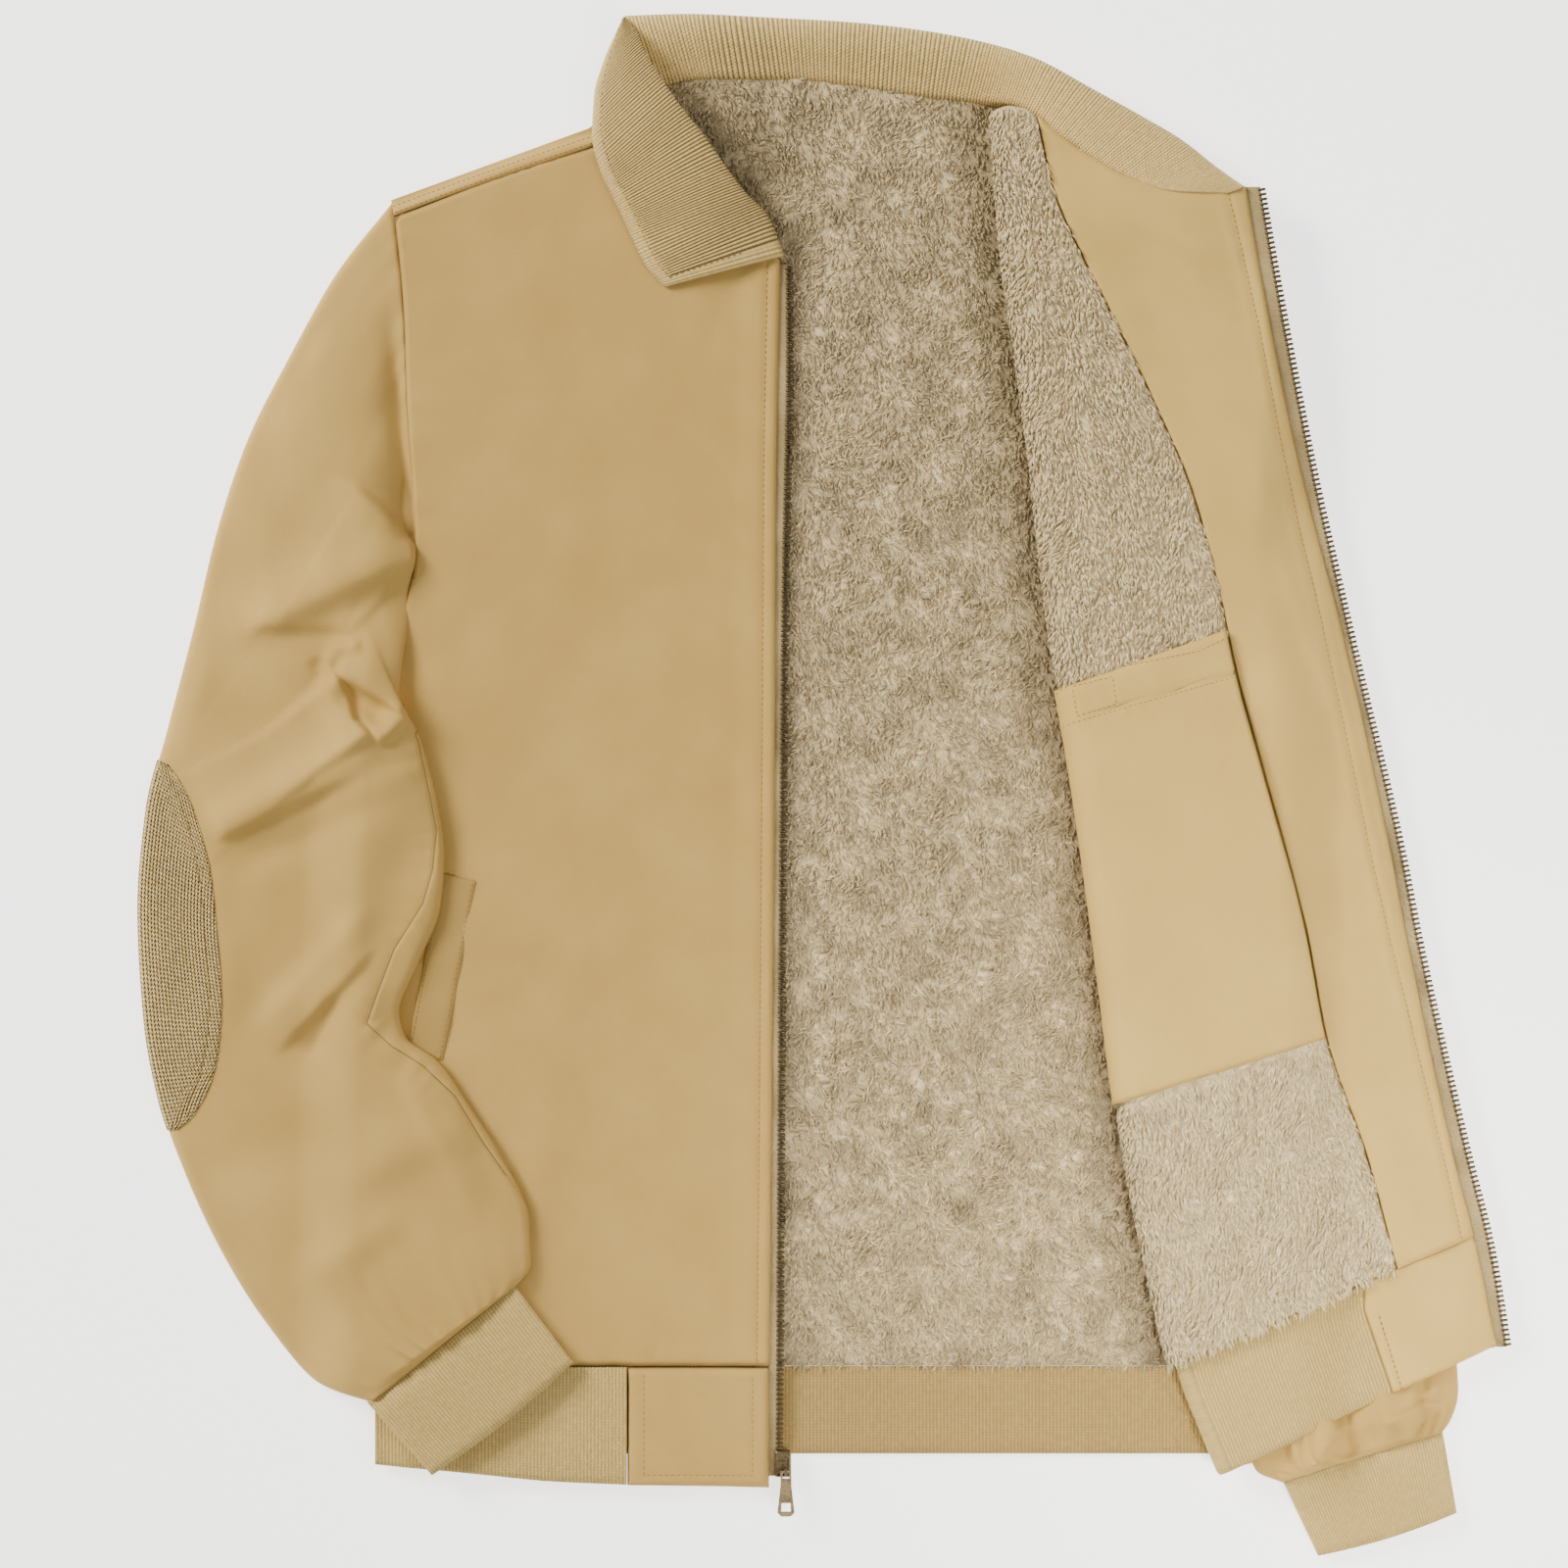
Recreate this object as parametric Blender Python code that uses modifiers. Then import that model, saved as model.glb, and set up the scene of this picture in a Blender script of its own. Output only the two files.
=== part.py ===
"""Fleece-lined bomber jacket, laid flat on its back.

The wearer's right front lies closed. The left front is folded open along a slanted
line from the neck to the hem, so its fleece, facing and inner pocket face up.
Sizes below are in millimetres. X runs across the jacket, Y from hem to collar, Z up.
"""
import bpy
import bmesh
import math
from mathutils import Matrix

for old in list(bpy.data.objects):
    bpy.data.objects.remove(old, do_unlink=True)

MM = 0.001

# walls
SHELL = 1.5         # shell cloth
PILE = 4.0          # fleece, to the tips of its pile
RIB = 2.4           # rib knit
BAND = 3.4          # hem band, rib knit folded double
END_WALL = 2.8      # shell pieces at the ends of the hem band, and the band where it is folded over
TAPE = 0.9          # zip tape
GAP = 0.4           # between pieces at a seam or one on another

# levels of the layers that lie on each other on the body
LINING_Z = SHELL + GAP
FRONT_Z = LINING_Z + PILE + GAP
SEAM_Z = SHELL + GAP
OVER_Z = FRONT_Z + 2 * (SHELL + GAP) + 0.5      # clears the front and its pocket welt

# garment sizes
SHOULDER_Y = 299.0
UNDERARM_Y = 110.0
HEM_Y = -297.0
SIDE_ROLL = 16.0        # width over which a front rises from its side seam
DRAPE_FAR = 42.0        # where a sleeve that leaves the body reaches the ground
DRAPE_NEAR = 9.0
SLEEVE_LOFT = 10.0      # hollow of the right sleeve at its middle
LEFT_LOFT = 5.0         # the left sleeve is pressed flat under the folded front
FLAP_RISE = SHELL * 2 + GAP * 3 + LEFT_LOFT     # folded front above what carries the left sleeve
FOLD_OUT = SHELL / 2 + GAP + PILE               # from the shell's middle to the fleece's face
PLY_Z = FRONT_Z + SHELL / 2                     # middle of the ply that lies on the lining
TURN = (OVER_Z + FLAP_RISE + SHELL / 2 - PLY_Z) / 2     # radius of the left front's fold
FREE_Z = 4.5            # folded front above the ground, past the left sleeve
CHAIN = 2.4             # depth of the zip's teeth

COLOURS = {
    "shell": (0.56, 0.41, 0.22), "fleece": (0.58, 0.50, 0.36), "rib": (0.52, 0.41, 0.24),
    "patch": (0.40, 0.32, 0.18), "tape": (0.40, 0.31, 0.18), "brass": (0.30, 0.24, 0.12),
}
FINISH = {"brass": (0.38, 1.0), "fleece": (0.95, 0.0)}

# y, x of each edge, from the top down
ARMHOLE_AND_SIDE = (
    (299, 221.0), (290, 219.0), (235, 214.0), (200, 213.0), (150, 210.0), (121, 208.0), (110, 206.8),
    (90, 208.0), (74, 210.5), (56, 219.0), (0, 222.5), (-100, 225.5), (-200, 227.5), (-360, 229.0),
)
# x, y of the back's upper edge, over the shoulders and round the neck
BACK_TOP = (
    (-221, 299), (-120, 336), (-104, 347), (-80, 361.5), (-61, 363.5), (-21, 363.5), (10, 360.5),
    (45, 355.5), (78, 351), (104, 345), (120, 336), (221, 299),
)
RIGHT_FRONT_TOP = ((-219, 290), (-120, 325), (-97, 329), (-72, 318), (-45, 295), (-22, 268))
RIGHT_FRONT_EDGE = ((268, -22.0), (150, -24.0), (50, -24.5), (-150, -26.0), (-360, -28.0))
TEETH_LINE = ((266, -17.0), (220, -16.5), (120, -18.5), (50, -19.5), (-340, -22.0))

# left x, y and right x, y of stations, from the top down, or from the foot up
SHOULDER_STRIP = (
    (-120, 326.2, -122, 335), (-153, 315.0, -155, 323), (-186, 303.4, -188, 311), (-219, 291.2, -221, 299),
)
POCKET_WELT = (
    (-213.5, -138, -194, -142), (-207, -104, -187.5, -109), (-201, -71, -181.5, -77),
    (-196.5, -44, -176.5, -48.5),
)
HEM_BACK = ((-228.5, -341.5, 226, -341.5), (-228.2, HEM_Y - GAP, 226, HEM_Y - GAP))
HEM_RIGHT = ((-228.5, -348, -100.6, -357), (-228.5, HEM_Y - 0.5, -100.6, HEM_Y - 1.0))
HEM_END = ((-100, -357.2, -28, -358.6), (-100, HEM_Y - 1.0, -28, HEM_Y - 1.0))

# y, x of lines on the folded left front
FOLD = (
    (336, 84.5), (280, 89.0), (210, 98.5), (172, 103.5), (82, 114.0), (0, 127.5), (-67, 137.0),
    (-190, 153.0), (-235, 161.5), (-304, 177.5), (-337, 190.5), (-354, 197.5),
)
LEFT_EDGE = (
    (304, 215.0), (256, 223.5), (199, 234.5), (124, 253.0), (83, 264.0), (-20, 287.0), (-67, 296.0),
    (-190, 322.0), (-232, 333.0), (-290, 345.0),
)
LEFT_TEETH = (
    (305, 222.0), (240, 233.5), (170, 247.5), (70, 270.5), (-34, 295.0), (-78, 303.5), (-190, 329.0),
    (-236, 340.5), (-287, 349.0),
)
FACING_SEAM = (
    (347, 103.0), (330, 108.5), (305, 115.5), (260, 136.5), (201, 165.5), (150, 187.5), (105, 200.0),
    (54, 211.0), (7, 224.0), (-72, 245.5), (-132, 257.5), (-190, 277.5), (-254, 294.5), (-300, 306.0),
)
# y on the fold, y at the front edge: rows of the left front, which slant since it is folded
FLAP_ROWS = (
    (336, 304), (280, 268), (210, 214), (130, 158), (49, 99), (-60, -6), (-163, -114), (-230, -172),
    (-297, -230), (-337, -270), (-354, -286),
)
HEM_ROW = -297.0        # y on the fold
POCKET_TOP = 49.0
POCKET_FOOT = -163.0
HEM_SPLIT = ((-268, 276.0), (-318, 293.0), (-360, 306.0))       # y, x where rib meets the end piece
SIDE_HEM_X = 226.0      # side seam at the hem
SIDE_HEM_FOOT = -345.0
# x, rise of the folded front's upper edge above a straight row, under the collar
NECK_LINE = (
    (84, 0.0), (95, 8.0), (101, 10.0), (110, 8.0), (119, 4.0), (138, -4.0), (157, -10.5), (178, -11.5),
    (203, -5.0), (215, -1.0),
)
FOLD_TOP = 336.0
FOLD_FOOT = -354.0

# outer edge x, y and inner edge x, y of stations down the right sleeve
RIGHT_SLEEVE = (
    (-221.8, 299, -209.0, 109), (-247, 265, -212, 82), (-273, 219, -216, 46), (-295, 175, -206, 25),
    (-310, 130, -197, -8), (-322, 80, -193, -36), (-335, 30, -195, -62), (-346, -14, -206, -90),
    (-350, -64, -216, -115), (-347, -119, -213, -128), (-340, -159, -196, -141), (-325, -202, -180, -164),
    (-307, -240, -164, -189), (-285, -275, -150, -220), (-257, -306, -149, -244), (-230, -315, -156, -255),
)
# left edge x, y and right edge x, y of stations down the left sleeve, folded over at its armhole
LEFT_SLEEVE = (
    (145, 283, 224, 283), (130, 200, 230, 200), (133, 120, 242, 120), (143, 40, 255, 40),
    (155, -40, 272, -40), (170, -120, 290, -120), (188, -200, 308, -200), (205, -270, 321, -265),
    (214, -324, 325, -309), (221, -350, 321, -325), (234, -356, 317, -331),
)
# shares across the right sleeve, closer at its edges
SLEEVE_COLUMNS = (0.0, 0.035, 0.09, 0.17, 0.26, 0.36, 0.46, 0.56, 0.66, 0.75, 0.84, 0.915, 0.965, 1.0)
LEFT_COLUMNS = (0.0, 0.06, 0.16, 0.3, 0.5, 0.7, 0.84, 0.94, 1.0)
# soft ridges and hollows of the right sleeve: start, end, half width, height
SLEEVE_FOLDS = (
    (-211, 112, -296, 82, 10, 7.0), (-296, 78, -252, 44, 9, -4.0), (-250, 52, -214, 36, 9, 6.0),
    (-212, 26, -310, -24, 12, 6.0), (-205, 0, -300, -52, 9, -4.0), (-226, -64, -284, -130, 13, 5.0),
    (-246, -108, -256, -140, 8, -3.5), (-206, 140, -212, 116, 6, -4.0), (-232, -306, -190, -262, 7, 3.5),
    (-280, 186, -224, 150, 14, 3.0), (-236, -200, -176, -176, 14, 2.5), (-300, -200, -250, -260, 16, 2.5),
)

# elbow patch: shares down the sleeve, its widest share across it, and how it stands off it
PATCH_FROM, PATCH_TO = 0.415, 0.70
PATCH_WIDTH = 0.275
PATCH_LIFT = 0.9

# both ends of a cuff's seam, both ends of its open edge, and its height
CUFF_RIGHT = (((-230.5, -317), (-156, -257)), ((-199.5, -352), (-127.5, -294.5)), 8.6)
CUFF_LEFT = (((235.6, -357.4), (317, -332.2)), ((253, -394), (324, -372)), 8.0)

# collar, double rib: the leaf that lies on the right front and the stand round the back neck
LEAF = (        # roll x, y, level; outer edge x, y, level
    (-19, 270, 12, -81, 254, 9.5), (-28, 291, 19, -90, 264, 9.5), (-39, 302, 24, -98, 280, 9.5),
    (-49, 315, 27, -103, 291, 9.5), (-61, 332, 29, -109, 303, 9.5), (-73, 347, 29, -114, 314, 9.5),
    (-83, 362, 27, -118, 332, 9.5), (-91, 375, 24, -117, 352, 9.0), (-96, 386, 20, -112, 370, 8.8),
    (-101, 392, 16, -106, 384, 8.8),
)
STAND = (       # neck seam x, y, level; roll x, y, level; level of the fall beneath
    (-79, 361.6, 3.3, -95, 392, 15, 2.0), (-61, 363, 3.3, -68, 393, 15, 2.0),
    (-21, 363, 3.3, -25, 391, 15, 2.0), (10, 360, 3.3, 11, 389, 15, 2.0), (45, 355, 3.3, 48, 385, 15, 2.0),
    (77, 351, 4.6, 84, 378, 16, 3.5), (99, 347, 12.0, 108, 370, 18, 8.0),
    (118, 333.4, 22.0, 135, 355, 24, 12.5), (137, 320.6, 23.5, 160, 341, 25, 14.0),
    (156.5, 309.4, 23.5, 182, 328, 25, 14.0), (177.5, 303.6, 23.5, 200, 316, 24.6, 14.0),
    (204.5, 303.6, 22.5, 213, 308, 23.4, 14.0),
)

# zip slider, the crown on it and the pull tab whose end bar turns under the crown
SLIDER = (-20.5, -346.6)
SLIDER_SIZE = (8.4, 13.6, 4.8)
SLIDER_Z = 5.2
CROWN_X = -19.0
CROWN_Y = -350.6
CROWN_WIDTH = 1.6
CROWN_WIRE = 0.9
CROWN_EYE = 1.3         # half of the square way through it
BAR = 0.6               # half the depth of the pull's end bar
PULL_WALL = 1.5
PULL_LENGTH = 23.0
PULL_TOP = 5.6
PULL_FOOT = 8.8
PULL_EYE = (1.6, 3.5)   # half width, reach from the bar's middle
PULL_DROOP = 6.0        # degrees below level, where it rests on the slider's end


def smooth(low, high, value):
    share = min(1.0, max(0.0, (value - low) / (high - low)))
    return share * share * (3.0 - 2.0 * share)


def mix(first, second, share):
    return first + (second - first) * share


def along(table, value, column=1):
    """Read a column of a table at a value of its first column, with no overshoot between rows."""
    rows = table if table[0][0] < table[-1][0] else table[::-1]
    keys = [row[0] for row in rows]
    reads = [row[column] for row in rows]
    if value <= keys[0]:
        return reads[0]
    if value >= keys[-1]:
        return reads[-1]
    at = max(i for i in range(len(keys) - 1) if keys[i] <= value)
    rises = [(reads[i + 1] - reads[i]) / (keys[i + 1] - keys[i]) for i in range(len(keys) - 1)]

    def slope(i):
        if i == 0 or i == len(rises):
            return rises[min(i, len(rises) - 1)]
        before, after = rises[i - 1], rises[i]
        return 0.0 if before * after <= 0 else 2 * before * after / (before + after)

    width = keys[at + 1] - keys[at]
    t = (value - keys[at]) / width
    return (reads[at] * (1 + 2 * t) * (1 - t) ** 2 + reads[at + 1] * t * t * (3 - 2 * t)
            + slope(at) * width * t * (1 - t) ** 2 - slope(at + 1) * width * t * t * (1 - t))


def station(table, share):
    """Read every column of a table of stations at a share of its length."""
    numbered = [(i,) + tuple(row) for i, row in enumerate(table)]
    place = share * (len(table) - 1)
    return [along(numbered, place, column + 1) for column in range(len(table[0]))]


def shares(count, low=0.0, high=1.0):
    return [mix(low, high, i / count) for i in range(count + 1)]


# ---- heights of what lies on the body

def side_x(y):
    return along(ARMHOLE_AND_SIDE, y)


def front_level(x, y):
    """Underside of a front: on the lining, and down to the back at the side seam."""
    inward = side_x(y) - abs(x)
    on_side = 1.0 - smooth(UNDERARM_Y - 20, UNDERARM_Y + 10, y)
    return FRONT_Z - (FRONT_Z - SEAM_Z) * on_side * (1.0 - smooth(0.0, SIDE_ROLL, inward))


def over_body(x, y):
    """Underside of a sleeve that lies on the body and runs off its side to the ground."""
    outward = abs(x) - side_x(y)
    return OVER_Z * (1.0 - smooth(DRAPE_NEAR, DRAPE_FAR, outward))


def right_carrier(x, y):
    inward = side_x(y) - abs(x)
    beside = smooth(UNDERARM_Y - 52, UNDERARM_Y - 8, y)
    return (1.0 - beside) * OVER_Z * smooth(-DRAPE_FAR, -DRAPE_NEAR, inward)


def left_carrier(x, y):
    below_hem = smooth(-374.0, -346.0, y)
    return over_body(x, y) * below_hem


def left_sleeve_right(y):
    rows = [(row[3], row[2]) for row in LEFT_SLEEVE]
    return along(rows, y)


def flap_level(x, y):
    """Middle of the folded front's shell, over the left sleeve and down past its right edge."""
    past = smooth(4.0, 30.0, x - left_sleeve_right(y))
    rise = mix(FLAP_RISE, FREE_Z, past * smooth(-372, -300, y))
    return left_carrier(x, y) + rise + SHELL / 2


# ---- solids

def material(name):
    made = bpy.data.materials.get(name)
    if made:
        return made
    made = bpy.data.materials.new(name)
    made.use_nodes = True
    shader = made.node_tree.nodes["Principled BSDF"]
    kind = name.split("_")[0]
    rough, metal = FINISH.get(kind, (0.75, 0.0))
    shader.inputs["Base Color"].default_value = (*COLOURS[kind], 1.0)
    shader.inputs["Roughness"].default_value = rough
    shader.inputs["Metallic"].default_value = metal
    return made


def place(name, bm, finish):
    mesh = bpy.data.meshes.new(name)
    bm.to_mesh(mesh)
    bm.free()
    piece = bpy.data.objects.new(name, mesh)
    jacket.objects.link(piece)
    mesh.materials.append(material(finish + "_" + name))
    return piece


def wall(piece, thickness, side):
    solid = piece.modifiers.new("Wall", "SOLIDIFY")
    solid.thickness = thickness * MM
    solid.offset = side


def sheet(name, rows, thickness, finish, side=1.0, closed=False):
    """Cloth through rows of points: an open grid, given its wall by Solidify."""
    bm = bmesh.new()
    bmesh.ops.create_grid(bm, x_segments=len(rows[0]) - 1, y_segments=len(rows) - 1, size=1.0)
    order = sorted(bm.verts, key=lambda v: (round(v.co.y, 4), round(v.co.x, 4)))
    points = [point for row in rows for point in row]
    for vert, point in zip(order, points):
        vert.co = [value * MM for value in point]
    if closed:
        bmesh.ops.remove_doubles(bm, verts=bm.verts, dist=1e-6)
    piece = place(name, bm, finish)
    wall(piece, thickness, side)
    return piece


def panel(name, left, right, top, bottom_y, level, thickness, finish, rows=12, columns=10, top_y=None):
    """Cloth between two side lines, from a straight hem up to a shaped upper edge."""
    high = top_y if top_y is not None else SHOULDER_Y
    points = []
    for up in shares(rows):
        y_row = mix(bottom_y, high, up)
        line = []
        for across in shares(columns):
            x = mix(left(y_row), right(y_row), across)
            y = mix(bottom_y, top(x), up)
            line.append((x, y, level(x, y)))
        points.append(line)
    return sheet(name, points, thickness, finish)


def strip(name, stations, level, thickness, finish, columns=3):
    """Cloth between pairs of points, listed from the foot up: left x, y and right x, y."""
    points = []
    for left_x, left_y, right_x, right_y in stations:
        line = []
        for across in shares(columns):
            x = mix(left_x, right_x, across)
            y = mix(left_y, right_y, across)
            line.append((x, y, level(x, y)))
        points.append(line)
    return sheet(name, points, thickness, finish)


# ---- body

def make_back():
    def inset(y):
        return mix(4.0, SIDE_ROLL, 1.0 - smooth(UNDERARM_Y + 12, UNDERARM_Y + 40, y)) + 5.0

    panel("back", lambda y: -side_x(y), side_x, lambda x: along(BACK_TOP, x), HEM_Y,
          lambda x, y: 0.0, SHELL, "shell", rows=14, columns=14)
    panel("back_lining", lambda y: -side_x(y) + inset(y), lambda y: side_x(y) - inset(y),
          lambda x: along(BACK_TOP, x) - 1.6 - 11.0 * smooth(92, 108, abs(x)), HEM_Y + 5.0,
          lambda x, y: LINING_Z, PILE, "fleece", rows=12, columns=14, top_y=SHOULDER_Y - 10)


def placket_level(x, y):
    """The right front, lifted at its edge by the zip tape under it."""
    inward = along(RIGHT_FRONT_EDGE, y) - x
    return front_level(x, y) + (TAPE + GAP) * (1.0 - smooth(9.0, 22.0, inward))


def make_right_front():
    points = []
    columns = [0.0, 0.03, 0.07, 0.12, 0.25, 0.4, 0.55, 0.7, 0.85, 0.92, 0.96, 1.0]
    for up in shares(16):
        line = []
        for across in columns:
            x = mix(-side_x(mix(HEM_Y, 290, up)), along(RIGHT_FRONT_EDGE, mix(HEM_Y, 268, up)), across)
            y = mix(HEM_Y, along(RIGHT_FRONT_TOP, x), up)
            line.append((x, y, placket_level(x, y)))
        points.append(line)
    sheet("front_right", points, SHELL, "shell")
    strip("shoulder_right", SHOULDER_STRIP,
          lambda x, y: mix(FRONT_Z, SEAM_Z + 0.4, smooth(0, 9, y - along(RIGHT_FRONT_TOP, x))),
          SHELL, "shell")


def make_welt():
    strip("pocket_welt", POCKET_WELT, lambda x, y: FRONT_Z + SHELL + GAP, SHELL, "shell")


def make_hem():
    strip("hem_rib_back", HEM_BACK, lambda x, y: 0.0, BAND, "rib", columns=12)
    strip("hem_rib_right", HEM_RIGHT,
          lambda x, y: mix(BAND + GAP, FRONT_Z, smooth(3, 18, side_x(y) - abs(x))), BAND, "rib", columns=8)
    strip("hem_end_right", HEM_END, placket_level, END_WALL, "shell", columns=8)


def make_right_zip():
    tape = [(along(RIGHT_FRONT_EDGE, y) - 5.0, y, along(TEETH_LINE, y) - 0.9, y)
            for y in shares(14, -336.0, 265.0)]
    strip("zip_tape_right", tape, lambda x, y: FRONT_Z, TAPE, "tape", columns=1)
    chain = [(along(TEETH_LINE, y) - 0.5, y, along(TEETH_LINE, y) + 2.6, y)
             for y in shares(14, -339.0, 265.0)]
    strip("zip_chain_right", chain, lambda x, y: FRONT_Z, CHAIN, "brass", columns=1)


# ---- right sleeve

def sleeve_profile(across):
    return math.sin(math.pi * min(1.0, max(0.0, across))) ** 0.55


def fold_height(x, y):
    total = 0.0
    for start_x, start_y, end_x, end_y, half_width, height in SLEEVE_FOLDS:
        run_x, run_y = end_x - start_x, end_y - start_y
        length = math.hypot(run_x, run_y)
        t = ((x - start_x) * run_x + (y - start_y) * run_y) / length ** 2
        off = ((x - start_x) * run_y - (y - start_y) * run_x) / length
        fade = smooth(-0.15, 0.25, t) * (1.0 - smooth(0.75, 1.15, t))
        total += height * fade * math.exp(-(off / half_width) ** 2)
    return total


def right_sleeve_point(down, across, lift):
    outer_x, outer_y, inner_x, inner_y = station(RIGHT_SLEEVE, down)
    x = mix(outer_x, inner_x, across)
    y = mix(outer_y, inner_y, across)
    return x, y, right_carrier(x, y) + lift


def right_sleeve_loft(down, across):
    x, y, carried = right_sleeve_point(down, across, 0.0)
    at_armhole = 1.0 - smooth(0.0, 0.12, down)
    loft = mix(SLEEVE_LOFT, FRONT_Z - SHELL - GAP, at_armhole) * mix(1.0, 0.75, smooth(0.9, 1.0, down))
    edge = smooth(0.0, 0.16, across) * (1.0 - smooth(0.84, 1.0, across))
    folds = fold_height(x, y) * edge * smooth(0.0, 0.08, down)
    return max(0.0, loft * sleeve_profile(across) + folds)


def make_right_sleeve():
    downs = shares(30)[::-1]
    under = [[right_sleeve_point(down, across, 0.0) for across in SLEEVE_COLUMNS] for down in downs]
    sheet("sleeve_right_under", under, SHELL, "shell")
    top = [[right_sleeve_point(down, across, SHELL + GAP + right_sleeve_loft(down, across))
            for across in SLEEVE_COLUMNS] for down in downs]
    sheet("sleeve_right_top", top, SHELL, "shell")


def make_elbow_patch():
    rows = []
    for down in shares(10, PATCH_FROM, PATCH_TO)[::-1]:
        tip = (down - PATCH_FROM + 0.015) / (PATCH_TO - PATCH_FROM + 0.03)
        reach = PATCH_WIDTH * math.sin(math.pi * tip) ** 0.7
        line = []
        for across in shares(5, 0.0, reach):
            lift = 2 * (SHELL + GAP) + PATCH_LIFT + right_sleeve_loft(down, across)
            line.append(right_sleeve_point(down, across, lift))
        rows.append(line)
    sheet("elbow_patch", rows, SHELL, "patch")


def cuff_ring(ends, height, level, count=20):
    """One flattened ring of a cuff: points round a stadium across the arm."""
    (left_x, left_y), (right_x, right_y) = ends
    ring = []
    for i in range(count + 1):
        turn = 2 * math.pi * i / count
        reach = math.copysign(abs(math.cos(turn)) ** 0.55, math.cos(turn))
        rise = math.copysign(abs(math.sin(turn)) ** 0.75, math.sin(turn))
        across = 0.5 - 0.5 * reach
        x = mix(left_x, right_x, across)
        y = mix(left_y, right_y, across)
        ring.append((x, y, level(x, y) + height * (0.5 - 0.5 * rise)))
    return ring


def make_cuff(name, cuff, level):
    """Tubular rib from the sleeve's gathered end to its open edge."""
    seam, open_end, height = cuff
    rings = []
    for down in shares(4):
        ends = [(mix(a[0], b[0], down), mix(a[1], b[1], down)) for a, b in zip(seam, open_end)]
        rings.append(cuff_ring(ends, height, level))
    sheet(name, rings, RIB, "rib", side=-1.0, closed=True)


# ---- folded left front

def flap_row(y_fold):
    """Ends of a row: at the side seam, at the fold's outline and at the front edge."""
    y_edge = along(FLAP_ROWS, y_fold)
    side_y = mix(290, HEM_Y, (FOLD_TOP - y_fold) / (FOLD_TOP - HEM_ROW))
    side = (side_x(side_y) - 0.5, side_y)
    fold = (along(FOLD, y_fold), y_fold)
    edge = (along(LEFT_EDGE, y_edge), y_edge)
    return side, fold, edge


def flap_axis(y_fold):
    """Centre of the fold and the way along the upper ply, with its length."""
    side, fold, edge = flap_row(y_fold)
    run = (edge[0] - fold[0], edge[1] - fold[1])
    length = math.hypot(*run)
    way = (run[0] / length, run[1] / length)
    start = TURN + FOLD_OUT
    centre = (fold[0] + way[0] * start, fold[1] + way[1] * start)
    return side, centre, way, length - start


def on_flap(y_fold, reach, lift):
    """A point of the upper ply, a reach along it and lifted off the shell's middle."""
    side, centre, way, length = flap_axis(y_fold)
    x = centre[0] + way[0] * reach
    y = centre[1] + way[1] * reach
    level = mix(PLY_Z + 2 * TURN, flap_level(x, y), smooth(0.0, 30.0, reach))
    y += along(NECK_LINE, x) * smooth(FOLD_TOP - 60.0, FOLD_TOP, y_fold)
    return x, y, level + lift


def reach_to(y_fold, line):
    """How far along the upper ply a line on it is crossed."""
    side, centre, way, length = flap_axis(y_fold)
    low, high = 0.0, length
    for _ in range(30):
        middle = (low + high) / 2
        if centre[0] + way[0] * middle < along(line, centre[1] + way[1] * middle):
            low = middle
        else:
            high = middle
    return (low + high) / 2


def fold_turn(y_fold, lift, angles):
    """Points round the fold, from under it (-90 degrees) to on top (90 degrees)."""
    side, centre, way, length = flap_axis(y_fold)
    points = []
    for angle in angles:
        turn = math.radians(angle)
        out = (TURN + lift) * math.cos(turn)
        rise = (TURN + lift) * math.sin(turn)
        points.append((centre[0] - way[0] * out, centre[1] - way[1] * out, PLY_Z + TURN + rise))
    return points


SHELL_ROWS = (shares(4, HEM_ROW, POCKET_FOOT)[:-1] + shares(6, POCKET_FOOT, POCKET_TOP)[:-1]
              + shares(8, POCKET_TOP, FOLD_TOP))
POCKET_ROWS = [y for y in SHELL_ROWS if POCKET_FOOT <= y <= POCKET_TOP]


def inner_reaches(y_fold):
    """From the fold to the facing seam."""
    return [reach_to(y_fold, FACING_SEAM) * share for share in shares(5)]


def outer_reaches(y_fold):
    """From the facing seam to the front edge."""
    length = flap_axis(y_fold)[3]
    return shares(5, reach_to(y_fold, FACING_SEAM), length)


def make_left_front():
    rows = []
    for y_fold in SHELL_ROWS:
        side, centre, way, length = flap_axis(y_fold)
        lower = math.hypot(side[0] - centre[0], side[1] - centre[1])
        line = []
        for across in (0.0, SIDE_ROLL * 0.5 / lower, SIDE_ROLL * 1.05 / lower, 0.5, 0.75):
            x = mix(side[0], centre[0], across)
            y = mix(side[1], centre[1], across)
            line.append((x, y, front_level(x, y) + SHELL / 2))
        line += fold_turn(y_fold, 0.0, (-90, -45, 0, 45))
        line += [on_flap(y_fold, reach, 0.0) for reach in inner_reaches(y_fold)]
        line += [on_flap(y_fold, reach, 0.0) for reach in outer_reaches(y_fold)[1:]]
        rows.append(line)
    sheet("front_left", rows, SHELL, "shell", side=0.0)


def make_left_lining():
    rows = []
    lift = SHELL / 2 + GAP
    for y_fold in SHELL_ROWS:
        reaches = inner_reaches(y_fold)
        reaches[-1] -= GAP
        line = fold_turn(y_fold, lift, (-15, 10, 35, 60))
        line += [on_flap(y_fold, reach, lift) for reach in reaches]
        rows.append(line)
    sheet("lining_left", rows, PILE, "fleece")


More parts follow.
